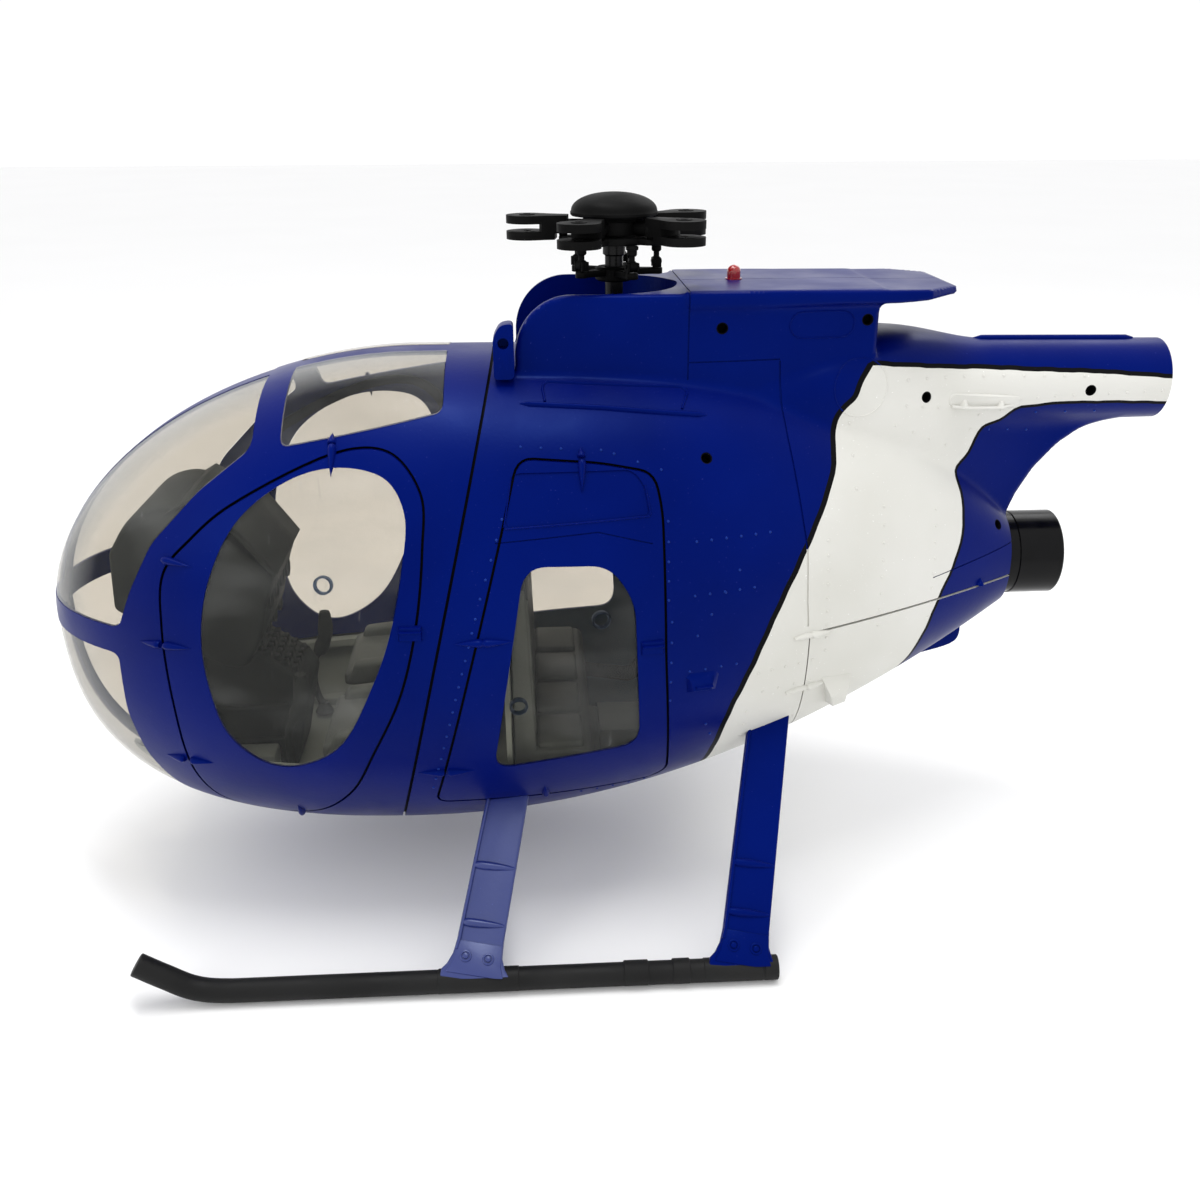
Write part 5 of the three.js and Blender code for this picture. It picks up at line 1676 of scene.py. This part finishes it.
def skin_details(name, side):
    blue, white = Pile(), Pile()
    teardrops(blue, side, SHELL_BUMPS)
    rivets = Pile()
    rivet_rows(rivets, white, RIVETS_BLUE + RIVETS_WHITE, side)
    # the blue rivets take the lighter blue, a painted highlight
    fixed(rivets.make("rivets_" + name), RIVET_LIT_BLUE, angle=60)
    # louvre frame behind the mast's foot: a long bar under a recessed strip
    ridge(blue, spread([(-51, 315), (-6, 312), (54, 306)], 22), side, [1.2] + [3.2] * 20 + [1.2],
          [0.4] + [2.0] * 20 + [0.4])
    frame_path = spread([(-37, 315.5), (-38.5, 322), (-35, 323.5), (40, 319), (44.5, 317), (40, 309.5)], 40)
    ridge(blue, frame_path, side, 1.8, 1.0)
    ring = arc(146, 316, 16.5, 0, 355, 72)
    ring = ring[-20:] + ring[:-20]
    for pile, mine in ((white, on_white(ring)), (blue, ~on_white(ring))):
        part = [p for p, m in zip(ring, mine) if m]
        gap = max(range(len(part)), key=lambda k: math.dist(part[k], part[k - 1]))
        ridge(pile, part[gap:] + part[:gap], side, 1.1, 0.35)
    slot = arc(133, 352, 7.4, -90, 90, 9) + arc(110, 352, 7.4, 90, 270, 9)
    ridge(blue, spread(slot + slot[:1], 44)[:-1], side, 1.1, 0.45, closed=True)
    for path in ([(118, 180.2), (105, 179.4)], [(118, 143.2), (103, 141.8)]):
        ridge(white, spread(path, 9), side, [1.6, 3.2, 3.8, 4, 3.9, 3.6, 3.0, 2.2, 1.2], 2.0)
    # boom handle: a long pad with a bent rod on two feet
    pad = arc(247, 300.5, 4.2, -90, 90, 8) + arc(208, 303.5, 4.2, 90, 270, 8)
    blister(white, side, pad, [(x, z, 0.9) for x, z in grown(pad, -0.9)])
    for x, z in ((214, 302.0), (238, 300.5)):
        blister(white, side, [(x - 4.5, z - 2.6), (x + 4.5, z - 2.6), (x + 1.2, z + 3.6),
                              (x - 1.2, z + 3.6)],
                [(x - 1.6, z - 2.4, 5.2), (x + 1.6, z - 2.4, 5.2), (x + 0.7, z + 0.6, 3.6),
                 (x - 0.7, z + 0.6, 3.6)])
    points, _ = on_side(spread([(206, 300.5), (214, 299.6), (238, 298.0), (246, 298.8)], 12), side)
    reach = np.array([1.0, 2.4, 4.4, 5.0, 5.2, 5.2, 5.2, 5.2, 5.0, 4.4, 2.4, 1.0])
    rail = points + np.stack([0 * reach, side * reach, 0 * reach], 1)
    white.take(sweep(rail, 1.0, 10))
    # air scoop ahead of the rear strut
    blister(blue, side, [(41, 154), (58, 154), (59.5, 164), (57, 166.5), (42, 166.5), (40, 164)],
            [(44.5, 156, 3.4), (55, 156, 3.4), (56.5, 163, 2.8), (55.5, 165, 1.4), (43, 165, 1.4),
             (42.5, 163, 2.8)])
    ridge(blue, spread([(45, 158.5), (55, 158.5)], 6), side, 2.0, 4.6)
    fixed(blue.make("skin_marks_" + name), PAINT_BLUE)
    fixed(white.make("white_marks_" + name), PAINT_WHITE)
    # boxed cooling outlet low on the engine door's lead edge
    outlet = Pile()
    blister(outlet, side, [(126, 148), (146, 146), (146, 124), (134, 122)],
            [(133, 134, 9), (144.5, 136, 8.5), (144.5, 126, 10.5), (135.5, 125.5, 11)])
    piece(bevel(outlet.make("outlet_box_" + name), 0.6), "engine_door_" + name, (),
          [PAINT_WHITE])
    for door, bumps in DOOR_BUMPS.items():
        pile = Pile()
        teardrops(pile, side, bumps)
        if door != "engine_door":
            x, z = (-113.5, 203) if door == "front_door" else (20, 186)
            blister(pile, side, [(x - 6.5, z - 4.2), (x + 6.5, z - 4.2), (x + 6.5, z + 4.2),
                                 (x - 6.5, z + 4.2)],
                    [(x - 5.8, z - 3.6, 1.3), (x + 5.8, z - 3.6, 1.9), (x + 5.8, z + 3.6, 1.9),
                     (x - 5.8, z + 3.6, 1.3)])
            ridge(pile, [(x - 6, z + 1.2), (x, z + 1.2), (x + 6, z + 1.2)], side, 1.5, 3.4)
        if door == "rear_door":
            ridge(pile, spread([(-60.5, 257), (-20, 258.2), (18.6, 259.4)], 14), side, 1.3, 0.6)
            ridge(pile, spread([(19.2, 260), (18, 268), (16.5, 275)], 6), side, 1.3, 0.6)
            ridge(pile, spread([(-61, 258), (-58.6, 271), (-56.6, 282)], 8), side, 1.0, 0.4)
        look = PAINT_WHITE if door == "engine_door" else PAINT_BLUE
        piece(soften(pile.make(door + "_bumps_" + name), 40), door + "_" + name, (), [look])


def carve_skin(body, core):
    """Panel lines, roof seams and screw holes in the rear fuselage; returns the linings of the holes."""
    for side in SIDES.values():
        for points, width in PANEL_LINES:
            carve(body, groove(side_cut(strip(points, width), side, 5), core))
    seam = box(FAIRING_SPLIT_X - 0.45, FAIRING_SPLIT_X + 0.45, -60, 60, 322, 380)
    carve(body, groove(seam, core))
    carve(body, groove(box(FAIRING_SPLIT_X + 1, 201, -0.35, 0.35, 360, 380), core))
    holes = Pile()
    for side in SIDES.values():
        for x, z in SCREW_HOLES:
            points, normals = on_side([(x, z)], side)
            carve(body, bored(HOLE_R, points[0], normals[0]))
            lined(holes, HOLE_R, points[0], normals[0])
    return holes


def groove(cutter, core):
    """The part of a cutter that lies outside the core, which is just under the skin."""
    return carve(cutter, core, "DIFFERENCE", keep=True)


def latch_box():
    """A small housing on the port side in front of the mast well, with a round hole in its face."""
    shape = rounded([(-65, 326), (-65, 349), (-61, 356), (-53.5, 357), (-53.5, 326)], 3, 4)
    made = prism(shape, -56, -43)
    made.name = "latch_box"
    carve(made, cylinder(-70, -48, 3.1, "y", (-59.3, 0, 346), 24))
    bevel(made, 1.0, 3, 40)
    carve(made, pod_solid(0.3))
    fixed(made, PAINT_BLUE)


def door_stop(name, outline, side, look, near=0):
    """The narrow flange inside an opening that a closed door lies against."""
    made = pod_solid(SKIN + 0.15, 250, name)
    carve(made, side_cut(grown(outline, 4), side, near), "INTERSECT")
    carve(made, pod_solid(SKIN + 1.2, 252))
    carve(made, side_cut(grown(outline, -3.2), side, near and near + 5))
    fixed(made, look)


def seam_stop():
    """The flange behind the seam between the two halves of the body, in near black as painted shade in the
    seam gap.
    """
    made = pod_solid(SKIN + 0.1, 60, "seam_flange")
    ends = [(seam_x(0, -5), 0), (seam_x(0, 5), 0), (seam_x(FAR, 5), FAR), (seam_x(FAR, -5), FAR)]
    carve(made, prism(ends, -WIDE, WIDE), "INTERSECT")
    carve(made, pod_solid(SKIN + 1.6, 62))
    for side in SIDES.values():
        carve(made, side_cut(grown(REAR_DOOR, 1), side))
        carve(made, side_cut(grown(FRONT_DOOR, 1), side))
    fixed(made, PAINTED_SHADE_BLACK)


def tub():
    """The moulded lining of the cabin's lower half, with a ledge along its rim."""
    lining = pod_solid(5.2, 60, "cabin_tub")
    carve(lining, box(-296, -66, -WIDE, WIDE, 52, 104), "INTERSECT")
    carve(lining, pod_solid(8.4, 62))
    fixed(lining, INSIDE_GREY)
    ledge = pod_solid(5.2, 60, "tub_ledge")
    carve(ledge, box(-292, -66, -WIDE, WIDE, 100, 104), "INTERSECT")
    carve(ledge, pod_solid(15, 62))
    fixed(ledge, INSIDE_GREY)


def boom_strip():
    """The raised rail along the top of the boom."""
    path = [(x, 0, BOOM_Z + BOOM_R - max(0, x - 235) * 0.012 + 0.2) for x in np.linspace(226, 326, 22)]
    bar = sweep(path, [0.6] + [2.0] * 20 + [0.6], 16)
    bar.name = "boom_rail"
    fixed(bar, PAINT_BLUE, angle=50)


def build():
    add_camera()
    add_stage()
    rear, core, holes = rear_parts()
    doors = {}
    for name, side in SIDES.items():
        for kind, outline, body in (("rear_door", REAR_DOOR, "rear_door_"),
                                    ("engine_door", ENGINE_DOOR, "engine_door_")):
            near = 1 if kind == "engine_door" else 0
            made = copy_of(rear, kind + "_panel_" + name)
            carve(made, side_cut(grown(outline, -DOOR_GAP / 2), side, near), "INTERSECT")
            if kind == "rear_door":
                carve(made, groove(side_cut(DOOR_RECESS, side, 5), core))
                carve(made, side_cut(REAR_WINDOW, side))
            doors[made.name] = (made, body + name, kind + "_" + name)
    for side in SIDES.values():
        carve(rear, side_cut(grown(REAR_DOOR, DOOR_GAP / 2), side))
        carve(rear, side_cut(grown(ENGINE_DOOR, DOOR_GAP / 2), side))
    shade(rear)
    piece(rear, "fuselage", ("rear_shell", "mast_fairing", "tail_fairing"))
    for made, body, node in doors.values():
        shade(made)
        piece(made, body, (node,))
    # screw-hole linings in near black, painted shade
    piece(holes.make("screw_holes"), "fuselage", (), [PAINTED_SHADE_BLACK])
    bpy.data.objects.remove(core)
    front = front_shell()
    shade(front)
    piece(front, "fuselage", ("front_shell",), [PAINT_BLUE, INSIDE_SKIN])
    for name, side in SIDES.items():
        made = pod_solid(0, FRONT_END_X, "front_door_panel_" + name)
        carve(made, side_cut(grown(FRONT_DOOR, -DOOR_GAP / 2), side), "INTERSECT")
        carve(made, lining_cutter(1))
        carve(made, side_cut(FRONT_WINDOW, side))
        shade(made)
        piece(made, "front_door_" + name, ("front_door_" + name,), [PAINT_BLUE, INSIDE_BLUE])
        skin_details(name, side)
        # door stops in near black, painted shade in the door gaps
        door_stop("front_door_stop_" + name, FRONT_DOOR, side, PAINTED_SHADE_BLACK)
        door_stop("rear_door_stop_" + name, REAR_DOOR, side, PAINTED_SHADE_BLACK)
        door_stop("engine_door_stop_" + name, ENGINE_DOOR, side, PAINTED_SHADE_BLACK, 1)
    latch_box()
    seam_stop()
    tub()
    windows()
    console()
    seats_and_sticks()
    bench()
    side_boxes()
    carried_over()
    rotor()
    mast_boot()
    beacon()
    exhaust()
    belly_lug()
    boom_strip()
    switch()
    landing_gear()


build()
